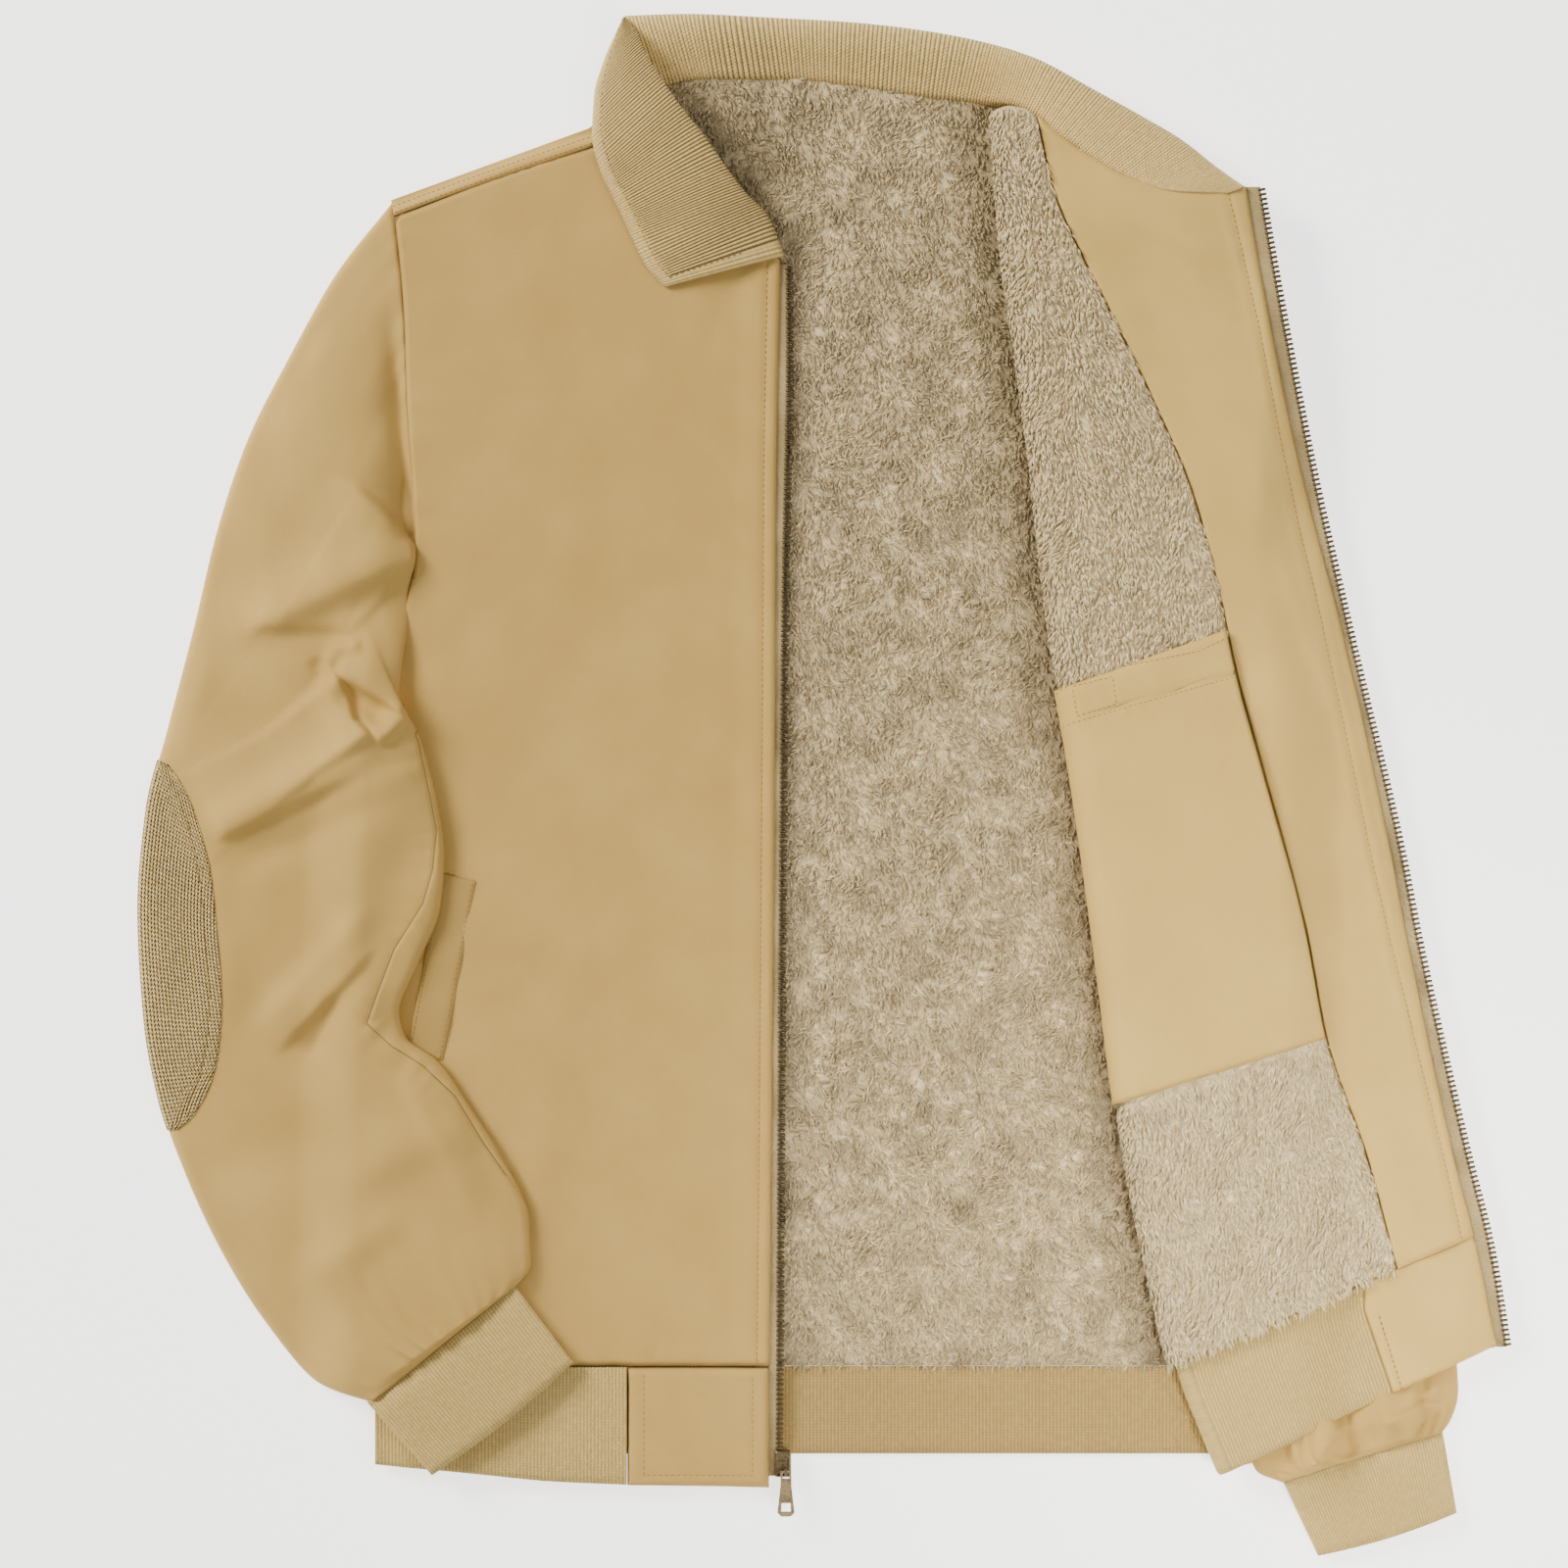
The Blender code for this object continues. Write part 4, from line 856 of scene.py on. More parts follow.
# shoulder strip, lapped on the front with two rows of stitches
shoulder = {"wall": 1.2, "width": 9}
shoulderRows = (        # lower x, y and upper x, y
    (-219, 291.2, -221, 299), (-186, 303.4, -188, 311), (-153, 315.0, -155, 323), (-119, 326.4, -121, 335.4),
    (-108, 330.3, -110, 339.3))
share, over = gridOf(np.linspace(0, 1, 50), np.linspace(0, 1, 14))
lowX, lowY, highX, highY = stationAt(shoulderRows, share)
x, y = mix(lowX, highX, over), mix(lowY - 0.9, highY, over)
rise, fromFoot = y - readTable(rightFrontTop, x), over * shoulder["width"]
z = mix(frontZ + 1.9, seamZ + 1.4, smooth(2, 9.5, rise)) - 0.9 * rimDrop(fromFoot, 1.0)
z += 0.25 * pucker(rise - 1.5, x, 5, 8, 35)
shoulderPiece = clothPiece("rightShoulder", (x, y, z), shoulder["wall"], 1, shellCloth, "shell",
                           ["shoulder_right"], seamGap=fromFoot)
shoulderLine = [(a, b) for a, b, _, _ in shoulderRows]
sewRows("shoulderStitches", shoulderPiece, [offsetLine(shoulderLine, by) for by in (1.0, 4.4)],
        size=(1.8, 0.5, 0.3))

# welt over the pocket's mouth
welt = {"wall": 1.3, "stitchIn": 2.2, "width": 20, "length": 96}
weltRows = (            # left x, y and right x, y, from its foot up
    (-213.5, -138, -194, -142), (-207, -104, -187.5, -109), (-201, -71, -181.5, -77),
    (-196.5, -44, -176.5, -48.5))
share, over = gridOf(np.linspace(0, 1, 60), np.linspace(0, 1, 22))
lowX, lowY, highX, highY = stationAt(weltRows, share)
x, y = mix(lowX, highX, over), mix(lowY, highY, over)
rim = np.minimum(np.minimum(over, 1 - over) * welt["width"], np.minimum(share, 1 - share) * welt["length"])
z = frontLevel(x, y) + 1.4 + 1.9 * (1 - rimDrop(rim, 1.6)) - 0.35 * bell(rim - welt["stitchIn"], 0.9)
z += 0.25 * softWaves(x, y, 26, 36)
weltPiece = clothPiece("pocketWelt", (x, y, z), welt["wall"], -1, shadedWeltCloth, "shell", ["pocket_welt"],
                       seamGap=noSeam)
leftRow, rightRow = ([(mix(a, c, s), mix(b, d, s)) for a, b, c, d in weltRows] for s in (0.11, 0.89))
sewRows("weltStitches", weltPiece, [leftRow + rightRow[::-1] + leftRow[:1]], size=(1.8, 0.5, 0.3))
print("right front made")


# rib bands

hem = {"rib": 1.8, "raise": 0.5, "endWall": 2.0, "leftEndWall": 1.6, "leftSpan": 100, "leftCut": 112.0}
# round the band's folded foot: the share of the way down to it, then 0 beneath and 1 on top
downShare = np.concatenate(([0, 0.5, 0.95, 0.975, 0.99, 1.0, 0.99, 0.975], np.linspace(0.95, 0, 7)))[:, None]
upShare = np.concatenate((np.zeros(3), [0.1, 0.28, 0.5, 0.72, 0.9], np.ones(7)))[:, None]


def foldedBand(name, leftX, rightX, footY, seamY, lowZ, finish, node):
    # a rib band folded double at its foot
    width = rightX - leftX
    count = int(width / hem["rib"])
    over = np.linspace(0, 1, count * 4 + 1)[None, :]
    x = mix(leftX, rightX, over) + 0 * downShare
    y = mix(seamY, footY(x), downShare)
    crest = ribWave(count, count * 4 + 1)[None, :] + 0 * x
    z = lowZ(x, y) + mix(hem["raise"], walls["band"] - hem["raise"], upShare)
    z += hem["raise"] * crest * (2 * upShare - 1)
    z += 0.4 * softWaves(x, y, 52, count) * smooth(0.5, 1.0, upShare)
    z -= 0.8 * smooth(0.93, 1.0, 1 - downShare) * (upShare > 0.9)       # tucked in at its seam
    length = seamY - float(np.mean(footY(x)))
    piece = clothPiece(name, (x, y, z), 0, -1, finish, "rib", [node], cut=(width, 2 * length), crest=crest)
    return piece


foldedBand("backHemRib", -228.5, 226.0, lambda x: -342.0 + 0 * x, hemY - 0.2, lambda x, y: 0 * x,
           shadedBackRibCloth, "hem_rib_back")
frontFoot = ((-229, -347.3), (-202, -349.7), (-172, -352.6), (-139, -355.8), (-100, -357.5))
foldedBand("rightHemRib", -229.0, -100.3, lambda x: readTable(frontFoot, x), hemY - 0.4,
           lambda x, y: mix(walls["band"] + walls["gap"], frontZ, smooth(3, 18, sideX(y) - np.abs(x))) - 0.3,
           ribCloth, "hem_rib_right")

up, over = gridOf(np.linspace(0, 1, 44), np.linspace(0, 1, 52))
endTop = hemY - 0.5
x = mix(-100.0, -27.6, over)
y = mix(readTable(((-100, -357.6), (-28, -358.8)), mix(-100.0, -28.0, over)), endTop, up)
# distances in from the stitched rectangle and from the piece's edge
box = np.minimum(np.minimum(x + 91.5, -36 - x), np.minimum(y + 352.5, -299.5 - y))
edge = np.minimum(np.minimum(x + 100, -27.6 - x), np.minimum(y + 358.2, endTop - y))
z = placketLevel(x, y) + 3.0 - 2.2 * rimDrop(edge, 2.6) - 0.5 * bell(box, 1.2)
z += 0.4 * pucker(box, x + y, 8, 9, 43) + 0.35 * softWaves(x, y, 40, 44)
endPiece = clothPiece("rightHemEnd", (x, y, z), hem["endWall"], -1, shellCloth, "shell", ["hem_end_right"],
                      seamGap=np.clip(np.minimum(x + 100, endTop - y), 0, noSeam))
sewRows("rightHemStitches", endPiece, [[(-91.5, -300.5), (-91.5, -352.5), (-36, -352.5), (-36, -300.5)]])
print("hem made")


# zip: tapes and metal teeth

zipParts = {"pitch": 2.5, "tooth": (3.9, 1.4, 2.2), "bevel": 0.16, "tape": 0.8, "rows": 60}


def toothShape():
    bm = bmesh.new()
    bmesh.ops.create_cube(bm, size=1.0)
    bmesh.ops.bevel(bm, geom=bm.edges[:], offset=zipParts["bevel"], segments=1, affect="EDGES", profile=0.5,
                    material=-1)
    return bm


def zipTeeth(name, line, level, node):
    spots, way = spaced(line, zipParts["pitch"])
    spots3 = np.column_stack((spots, level(spots[:, 0], spots[:, 1])))
    along = np.column_stack((way, np.zeros(len(way))))
    side = np.column_stack((way[:, 1], -way[:, 0], np.zeros(len(way))))
    up = np.tile((0.0, 0.0, 1.0), (len(way), 1))
    width, length, height = zipParts["tooth"]
    frames = np.stack((side * width, along * length, up * height), axis=1)
    return joinedCopies(name, toothShape(), spots3, frames, brass, "zip_metal", [node])


def zipTape(name, inner, outer, node):
    over = np.linspace(0, 1, 7)[None, :, None]
    points = inner[:, None, :] * (1 - over) + outer[:, None, :] * over
    piece = clothPiece(name, points, zipParts["tape"], -1, tapeCloth, "tape", [node], seamGap=noSeam)
    return piece


ys = np.linspace(-353, 266, zipParts["rows"])
edgeX, teethX = readTable(rightFrontEdge, ys), readTable(teethLine, ys)
level = np.full(len(ys), frontZ + 0.9)
zipTape("rightTape", np.column_stack((edgeX - 5, ys, level)), np.column_stack((teethX - 1.2, ys, level)),
        "zip_tape_right")
zipTeeth("rightTeeth", np.column_stack((teethX - 0.3, ys))[1:], lambda x, y: frontZ + 1.2 + 0 * x,
         "zip_chain_right")

ys = np.linspace(-287, 304.5, zipParts["rows"])
edgeX, teethX = readTable(leftEdge, ys), readTable(leftTeeth, ys)
level = flapLevel(edgeX, ys) + 0.4
zipTape("leftTape", np.column_stack((edgeX - 3.5, ys, level)), np.column_stack((teethX + 0.3, ys, level)),
        "zip_tape_left")
zipTeeth("leftTeeth", np.column_stack((teethX + 0.9, ys)),
         lambda x, y: flapLevel(readTable(leftEdge, y), y) + 0.4, "zip_chain_left")
for node, finish in (("zip_slider", sliderLitBrass), ("zip_pull", pullLitBrass)):
    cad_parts[node].data.materials.clear()
    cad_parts[node].data.materials.append(finish)
print("zip made")


# sleeves: a whole tube pressed flat, with its folds

def sleeveRing(table, downs, topCount, underCount, carrier, topRise, edgeRound, armhole=None):
    # x, y, z of rings from the outer edge over the top to the inner edge and back beneath
    top = 0.5 - 0.5 * np.cos(np.linspace(0, math.pi, topCount))
    top = mix(top, np.linspace(0, 1, topCount), 0.55)
    under = np.linspace(1, 0, underCount + 2)[1:-1]
    under = mix(0.5 - 0.5 * np.cos(under * math.pi), under, 0.4)
    down, across = gridOf(downs, np.concatenate((top, under, [0.0])))
    upper = np.concatenate((np.ones(topCount), np.zeros(underCount), [1.0]))[None, :] + 0 * down
    oneX, oneY, twoX, twoY = stationAt(table, down)
    x, y = mix(oneX, twoX, across), mix(oneY, twoY, across)
    if armhole:
        firstX, firstY = mix(table[0][0], table[0][2], across), mix(table[0][1], table[0][3], across)
        x = x + (armhole(firstY) - firstX) * (1 - smooth(0, 0.09, down))
    width = np.hypot(twoX - oneX, twoY - oneY)
    near = np.minimum(across, 1 - across) * width
    curve = roundEdge(near, edgeRound)
    rise, middle = topRise(x, y, down, across), sleeve["middle"]
    z = carrier(x, y) + middle + np.where(upper > 0.5, (rise - middle) * curve, -middle * curve)
    return x, y, z, down, across, upper


sleeve = {"depth": 1.45, "wall": 1.0, "middle": 1.7, "length": 560, "edgeRound": 4.5, "cuffPucker": 1.3,
          "tuck": 1.9, "lap": 1.3, "cuffEnd": 6.9, "leftEnd": 6.4, "leftWall": 0.9, "leftEdgeRound": 4.0}
sleeveCreases = (       # start x, y, end x, y, half width, height, lean
    (-262, 226, -222, 196, 14, 1.8, 0.0), (-280, 190, -224, 152, 17, 2.4, 0.2),
    (-216, 236, -208, 126, 12, -4.4, 0.3), (-208, 119, -297, 79, 13, 5.0, -0.3),
    (-246, 49, -222, 33, 6.5, -4.4, 0.0), (-259, 64, -254, 55, 4.4, -1.6, 0.0),
    (-254, 56, -250.5, 67, 2.6, 1.6, 0.0), (-251, 68.5, -236, 72, 3.4, 2.0, 0.0),
    (-222, 25, -311, -21, 10, 3.2, 0.0), (-222, -4, -300, -42, 9, -1.8, 0.0),
    (-206, 8, -286, -30, 9, 1.4, 0.0), (-232, -64, -286, -126, 10, 2.6, 0.25),
    (-247, -108, -262, -138, 5, -2.2, 0.0), (-222, -76, -236, -118, 8, 1.4, 0.0),
    (-206, 152, -209, 124, 8, -5.0, 0.0), (-206, -20, -232, -104, 15, -2.2, 0.0),
    (-236, -196, -170, -170, 14, 2.2, 0.2), (-300, -200, -250, -260, 16, 2.2, 0.0),
    (-330, -120, -262, -176, 20, 2.0, 0.2), (-316, -40, -300, -120, 12, 1.4, 0.0),
    (-212, -150, -176, -216, 8, 1.8, 0.2), (-262, -250, -214, -220, 9, 1.4, 0.0),
    (-336, 10, -316, 90, 12, 1.2, 0.0))
sleeveEdges = (         # height, fall, run, fade in, fade out, line
    (4.4, 6, 20, 6, 34, ((-203, 115), (-211, 122), (-224, 137.5), (-238, 149), (-256, 157))),
    (1.8, 6, 13, 12, 14, ((-296, 79), (-288, 82), (-271.5, 82.5), (-260.5, 82), (-248, 82), (-242.5, 79.7),
                          (-237, 73))),
    (4.4, 3.2, 26, 7, 8, ((-229.2, 20.5), (-233.7, 27.5), (-240, 33), (-242.7, 44), (-248, 53.5),
                          (-253, 59))),
    (2.0, 3.2, 9, 6, 6, ((-250.7, 58), (-233.6, 49), (-217.5, 39.3), (-211, 36))),
    (3.4, 5, 10, 6, 10, ((-229.2, 20.5), (-222, 26), (-214, 33.5), (-205, 37))),
    (2.8, 7, 15, 10, 34, ((-313, -27), (-286, -15), (-263, -4), (-247, 4), (-230, 12))),
    (2.0, 5, 9, 16, 20, ((-282, -138), (-258, -113), (-242, -96), (-226, -78))))
sleeveSeam = (          # where the two halves of the sleeve are sewn together
    (-204, 36), (-208, 25.5), (-206.5, 22.5), (-200, -7), (-197, -23.5), (-199, -43), (-204, -60.5),
    (-218.5, -83.5), (-226.5, -104.5), (-232.5, -121.5), (-220, -133), (-204, -143), (-187.5, -158.5),
    (-173, -182.5), (-161.5, -199))


def rightSleeveRise(x, y, down, across):
    atArmhole = 1 - smooth(0, 0.12, down)
    loft = mix(sleeveLoft, frontZ - 1.9, atArmhole) * mix(1.0, 0.92, smooth(0.9, 1.0, down))
    edge = smooth(0, 0.10, across) * (1 - smooth(0.92, 1.0, across))
    folds = sleeve["depth"] * (creaseHeight(sleeveCreases, x, y) + foldEdges(sleeveEdges, x, y))
    folds = folds * edge * smooth(0, 0.03, down)
    profile = np.sin(math.pi * np.clip(across, 0, 1)) ** 0.55
    puckers = sleeve["cuffPucker"] * pucker((1 - down) * 400, across * 130, 40, 13, 51)
    puckers = puckers * smooth(0.7, 1.0, down)
    away, along = lineReach(sleeveSeam, x, y)
    sewn = 0.7 * smooth(-0.6, 0.6, away) * (1 - smooth(6, 24, np.abs(away)))
    sewn = sewn + 0.5 * pucker(away, along, 10, 13, 52)
    waves = 0.5 * softWaves(x, y, 46, 53) + 0.8 * softWaves(x, y, 90, 54)
    armhole = 0.35 * pucker(down * 620, across * 190, 22, 19, 55)
    tuck = sleeve["tuck"] * (1 - smooth(0, 0.008, down))
    rise = 3.4 - tuck + np.maximum(0.0, loft * profile + folds + (puckers + sewn + waves + armhole) * edge)
    return mix(rise, sleeve["cuffEnd"], smooth(0.982, 1.0, down))


downs = np.concatenate((np.linspace(1, 0.6, 74)[:-1], np.linspace(0.6, 0, 205)))
x, y, z, down, across, upper = sleeveRing(rightSleeve, downs, 90, 12, rightCarrier, rightSleeveRise,
                                          sleeve["edgeRound"], lambda v: sleeve["lap"] - sideX(v))
away, along = lineReach(sleeveSeam, x, y)
fromSeam = np.where(upper > 0.5, np.abs(away), noSeam)
fromEnds = np.minimum(down, 1 - down) * sleeve["length"]
gapTo = np.minimum(fromSeam, fromEnds) * np.where(away < 0, -1, 1)
rightSleevePiece = clothPiece("rightSleeve", (x, y, z), sleeve["wall"], -1, shellCloth, "shell",
                              ["sleeve_right_top", "sleeve_right_under"], ring=True,
                              seamGap=np.clip(gapTo, -noSeam, noSeam))

patch = {"reach": 0.315, "from": 0.4244, "length": 0.2706, "rib": 1.85, "raise": 0.75, "lift": 0.7,
         "wall": 0.7, "stitchIn": 6.0, "width": 130, "tuck": 0.8}


def patchReach(down):
    # how far the patch reaches across the sleeve
    return patch["reach"] * np.sin(math.pi * np.clip((down - patch["from"]) / patch["length"], 0, 1)) ** 0.5


down, share = gridOf(np.linspace(0.6938, 0.4256, 62), np.linspace(0, 1, 105))
reach = patchReach(down) + 0.002
across = reach * share
oneX, oneY, twoX, twoY = stationAt(rightSleeve, down)
x, y = mix(oneX, twoX, across), mix(oneY, twoY, across)
near = across * np.hypot(twoX - oneX, twoY - oneY)
toRim = (reach - across) * patch["width"]
curve, crest = roundEdge(near, sleeve["edgeRound"]), crestAt(near / patch["rib"])
rise = (rightSleeveRise(x, y, down, across) - sleeve["middle"]) * curve
z = rightCarrier(x, y) + sleeve["middle"] + rise
z += (patch["lift"] + patch["raise"] * crest) * (1 - rimDrop(toRim, 1.2))
z -= 0.5 * bell(toRim - patch["stitchIn"], 0.9)
x = x - patch["tuck"] * (1 - curve)
patchPiece = clothPiece("elbowPatch", (x, y, z), patch["wall"], -1, patchCloth, "patch", ["elbow_patch"],
                        crest=crest)
down = np.linspace(0.434, 0.686, 60)
reach = patchReach(down) - 0.046        # 6 mm in from the patch's rim
down, reach = down[reach > 0.01], reach[reach > 0.01]
oneX, oneY, twoX, twoY = stationAt(rightSleeve, down)
stitchLine = np.column_stack((mix(oneX, twoX, reach), mix(oneY, twoY, reach)))
sewRows("patchStitches", patchPiece, [stitchLine], slot="patch")
print("right sleeve made")


cuff = {"ribs": 112, "rib": 1.8, "wall": 0.8, "height": 8.4, "leftHeight": 7.8, "raise": 0.6, "bow": 2.0}


def cuffTube(seamEnds, openEnds, level, height):
    # points of a rib tube pressed flat, from the gathered seam to its open edge
    ribs = cuff["ribs"]
    columns = ribs * 4 + 1
    fine = np.linspace(0, 2 * math.pi, 3001)
    widthOf = math.dist(*seamEnds)
    outline = np.column_stack((np.sign(np.cos(fine)) * np.abs(np.cos(fine)) ** 0.55 * widthOf / 2,
                               np.sign(np.sin(fine)) * np.abs(np.sin(fine)) ** 0.75 * height / 2))
    arc = np.concatenate(([0.0], np.cumsum(np.linalg.norm(np.diff(outline, axis=0), axis=1))))
    down, girth = gridOf(np.concatenate(([-0.07, -0.03], np.linspace(0, 1, 15))),
                         np.linspace(0, arc[-1], columns))
    across = 0.5 - 0.5 * (np.interp(girth, arc, outline[:, 0]) / (widthOf / 2))
    rise = np.interp(girth, arc, outline[:, 1]) / (height / 2)
    (aX, aY), (bX, bY) = seamEnds
    (cX, cY), (dX, dY) = openEnds
    x = mix(mix(aX, cX, down), mix(bX, dX, down), across)
    y = mix(mix(aY, cY, down), mix(bY, dY, down), across)
    alongX, alongY = (cX + dX - aX - bX) / 2, (cY + dY - aY - bY) / 2
    length = math.hypot(alongX, alongY)
    bow = cuff["bow"] * np.sin(math.pi * across) * down
    x, y = x + alongX / length * bow, y + alongY / length * bow
    crest = ribWave(ribs, columns)[None, :] + 0 * down
    swell = 0.35 * softWaves(x, y, 40, ribs) + 0.7 * pucker(down * length, across * 100, 12, 12, ribs)
    lip = (1 - 0.3 * smooth(0.93, 1.0, down)) * mix(0.2, 1.0, smooth(-0.08, 0.14, down))
    z = level(x, y) + height * 0.5 + (height * 0.5 * lip - 0.5) * rise + cuff["raise"] * crest * rise
    z += swell * np.clip(rise, 0, 1)
    return np.stack((x, y, z), axis=2)[:, ::-1], crest[:, ::-1], length


def addCuff(name, seamEnds, openEnds, level, height, node):
    points, crest, length = cuffTube(seamEnds, openEnds, level, height)
    piece = clothPiece(name, points, cuff["wall"], -1, ribCloth, "rib", [node], ring=True,
                       cut=(cuff["ribs"] * cuff["rib"], length), crest=crest)


addCuff("rightCuff", ((-230.5, -317), (-156, -257)), ((-199.5, -352), (-127.5, -294.5)),
        lambda x, y: overZ + 0.2 + 0 * x, cuff["height"], "cuff_right")
addCuff("leftCuff", ((235.6, -357.4), (317, -332.2)), ((253, -394), (324, -372)), leftCarrier,
        cuff["leftHeight"], "cuff_left")
print("cuffs made")

# left front, folded open: its shell, fleece, facing and inner pocket

foldOut = walls["shell"] / 2 + walls["gap"] + walls["pile"]
plyZ = frontZ + walls["shell"] / 2
turnZ = (overZ + flapRise + walls["shell"] / 2 - plyZ) / 2


class Flap:
    # one row of the left front for each height on the fold: where it turns and which way it lies
    def __init__(self, yFold):
        self.yFold = np.asarray(yFold, float)
        yEdge = readTable(flapRows, self.yFold)
        self.sideY = mix(290, hemY, (foldTop - self.yFold) / (foldTop - hemRow))
        self.sideX = sideX(self.sideY) - 0.5
        foldX, edgeX = readTable(foldLine, self.yFold), readTable(leftEdge, yEdge)
        runX, runY = edgeX - foldX, yEdge - self.yFold
        length = np.hypot(runX, runY)
        self.wayX, self.wayY = runX / length, runY / length
        start = turnZ + foldOut
        self.centreX, self.centreY = foldX + self.wayX * start, self.yFold + self.wayY * start
        self.length = length - start

    def on(self, reach, lift):
        # a point of the upper ply, a reach along it and lifted off the middle of the shell
        x, y = self.centreX + self.wayX * reach, self.centreY + self.wayY * reach
        level = mix(plyZ + 2 * turnZ, flapLevel(x, y), smooth(0, 30, reach))
        y = y + readTable(neckLine, x) * smooth(foldTop - 60, foldTop, self.yFold)
        return x, y, level + lift

    def reachTo(self, line):
        # how far along each row a line crosses it
        low, high = 0 * self.length, self.length
        for _ in range(30):
            middle = (low + high) / 2
            short = self.centreX + self.wayX * middle < readTable(line, self.centreY + self.wayY * middle)
            low, high = np.where(short, middle, low), np.where(short, high, middle)
        return (low + high) / 2

    def turn(self, lift, angles):
        # points round the fold, from under it at -90 degrees to on top at 90
        angles = np.radians(angles)
        out, rise = (turnZ + lift) * np.cos(angles), (turnZ + lift) * np.sin(angles)
        x, y = self.centreX - self.wayX * out, self.centreY - self.wayY * out
        drop = readTable(neckLine, x) * smooth(foldTop - 60, foldTop, self.yFold)
        return x, y + drop * smooth(-90, 0, np.degrees(angles)), plyZ + turnZ + rise


def stacked(parts):
    # x, y, z blocks side by side as one grid of points
    return np.concatenate([np.stack(np.broadcast_arrays(*part), axis=2) for part in parts], axis=1)


leftFront = {"wall": 1.2, "rows": 90}
flap = Flap(np.linspace(hemRow, foldTop, leftFront["rows"])[:, None])
across = np.linspace(0, 1, 12)[None, :]
x, y = mix(flap.sideX, flap.centreX, across), mix(flap.sideY, flap.centreY, across)
lower = (x[:, :-1], y[:, :-1], (frontLevel(x, y) + walls["shell"] / 2)[:, :-1])
turned = flap.turn(0.0, np.linspace(-90, 78, 12)[None, :])
upper = flap.on(flap.length * np.linspace(0, 1, 36)[None, :], 0.0)
leftPiece = clothPiece("leftFront", stacked((lower, turned, upper)), leftFront["wall"], 0, shellCloth,
                       "shell", ["front_left"], seamGap=noSeam)

leftFleece = {"mat": 2.2, "rise": 2.4, "rows": 150, "locks": 13200,
              "lock": {"length": 5.8, "width": 1.6, "height": 2.0, "spread": 0.28}}
flap = Flap(np.linspace(hemRow + 1, foldTop, leftFleece["rows"])[:, None])
seamReach = flap.reachTo(facingSeam)
lift = walls["shell"] / 2 + walls["gap"] + leftFleece["rise"]
over = np.linspace(0, 1, 42)[None, :]
x, y, z = flap.on((seamReach - 0.5) * over, lift)
swell = 0.5 * softWaves(x, y, 30, 61) + 0.3 * softWaves(x, y, 11, 62)
z = z + swell * smooth(0, 10, over * 100) - 1.6 * rimDrop((1 - over) * seamReach, 3.0)
fleecePoints = stacked((flap.turn(lift, np.linspace(-50, 80, 15)[None, :]), (x, y, z)))


def flapPaintedShade(x, y):
    # painted shade: a little darker at the turn of the fold, with random clumps of lighter and darker tone
    clumps = 0.94 + 0.06 * softWaves(x, y, 22, 66)
    return np.clip((0.86 + 0.14 * smooth(-2, 22, x - readTable(foldLine, y))) * clumps, 0, 1)


matPiece = clothPiece("leftFleeceMat", fleecePoints, leftFleece["mat"], -1, flapPile, "fleece",
                      ["lining_left"], shade=flapPaintedShade(fleecePoints[..., 0], fleecePoints[..., 1]))


def flapTurn(x, y):
    return -0.2 + 0.35 * softWaves(x, y, 60, 63) + 0.25 * softWaves(x, y, 22, 64)


def onPocket(x, y):
    # inside the inner pocket's outline
    top = readTable(((117, 47), (125.5, 53.5), (150, 61.5), (190.5, 69.5), (205, 76.5), (215, 76.5)), x)
    foot = readTable(((137, -168), (150, -163.5), (257.5, -132), (270, -130)), x)
    return (y < top) & (y > foot)


furOn("leftFleece", fleecePoints, lambda x, y: 1.0 - onPocket(x, y), leftFleece["locks"], leftFleece["lock"],
      flapTurn, flapLocks, 65, flapPaintedShade)
print("left front and its fleece made")

facing = {"wall": 1.0, "lift": 1.3, "depth": 2.3, "area": 0.039}
facingCreases = (       # start x, y, end x, y, half width, height, lean
    (135, 318, 205, 262, 16, 1.3, 0.2), (150, 285, 232, 232, 12, -0.8, 0.0), (232, 120, 262, 40, 9, 1.2, 0.3),
    (222, 60, 268, -20, 16, 1.2, 0.2), (245, -70, 290, -120, 14, 1.2, 0.0),
    (262, -130, 300, -210, 12, 1.2, 0.2), (286, -180, 318, -250, 10, 1.2, 0.3),
    (282, -230, 300, -262, 7, 1.0, 0.0), (190, 200, 232, 150, 12, 1.0, 0.2))
placketLine = ((205, 305), (214, 268), (222, 232), (232, 180), (243, 130), (252, 93.5), (257.5, 67),
               (266.5, 26.5), (279, -33.5), (288, -73.5), (317.5, -194), (326.5, -234), (331, -252))
flap = Flap(np.linspace(hemRow, foldTop, 150)[:, None])
seamReach = flap.reachTo(facingSeam)
share = np.concatenate((np.linspace(0, 0.06, 7)[:-1], np.linspace(0.06, 0.92, 46)[:-1],
                        np.linspace(0.92, 1.0, 8)))
reach = mix(seamReach + 0.4, flap.length - 0.3, share[None, :])
x, y, z = flap.on(reach, walls["shell"] / 2 + walls["gap"])
fromSeam, toEdge = reach - seamReach, flap.length - reach
away, along = lineReach(placketLine, x, y)
z = z + 0.8 * (1 - smooth(2, 26, fromSeam)) + facing["lift"]
z += facing["depth"] * creaseHeight(facingCreases, x, y) * smooth(0, 10, toEdge)
z += 0.35 * softWaves(x, y, 60, 71) + 0.35 * pucker(fromSeam, along, 12, 15, 72)
z += 0.3 * pucker(away, along, 8, 10, 73)
z += 0.4 * bell(np.abs(away) - 3.5, 2.4) - 0.45 * bell(away, 1.2) - 1.5 * rimDrop(toEdge, 2.4)
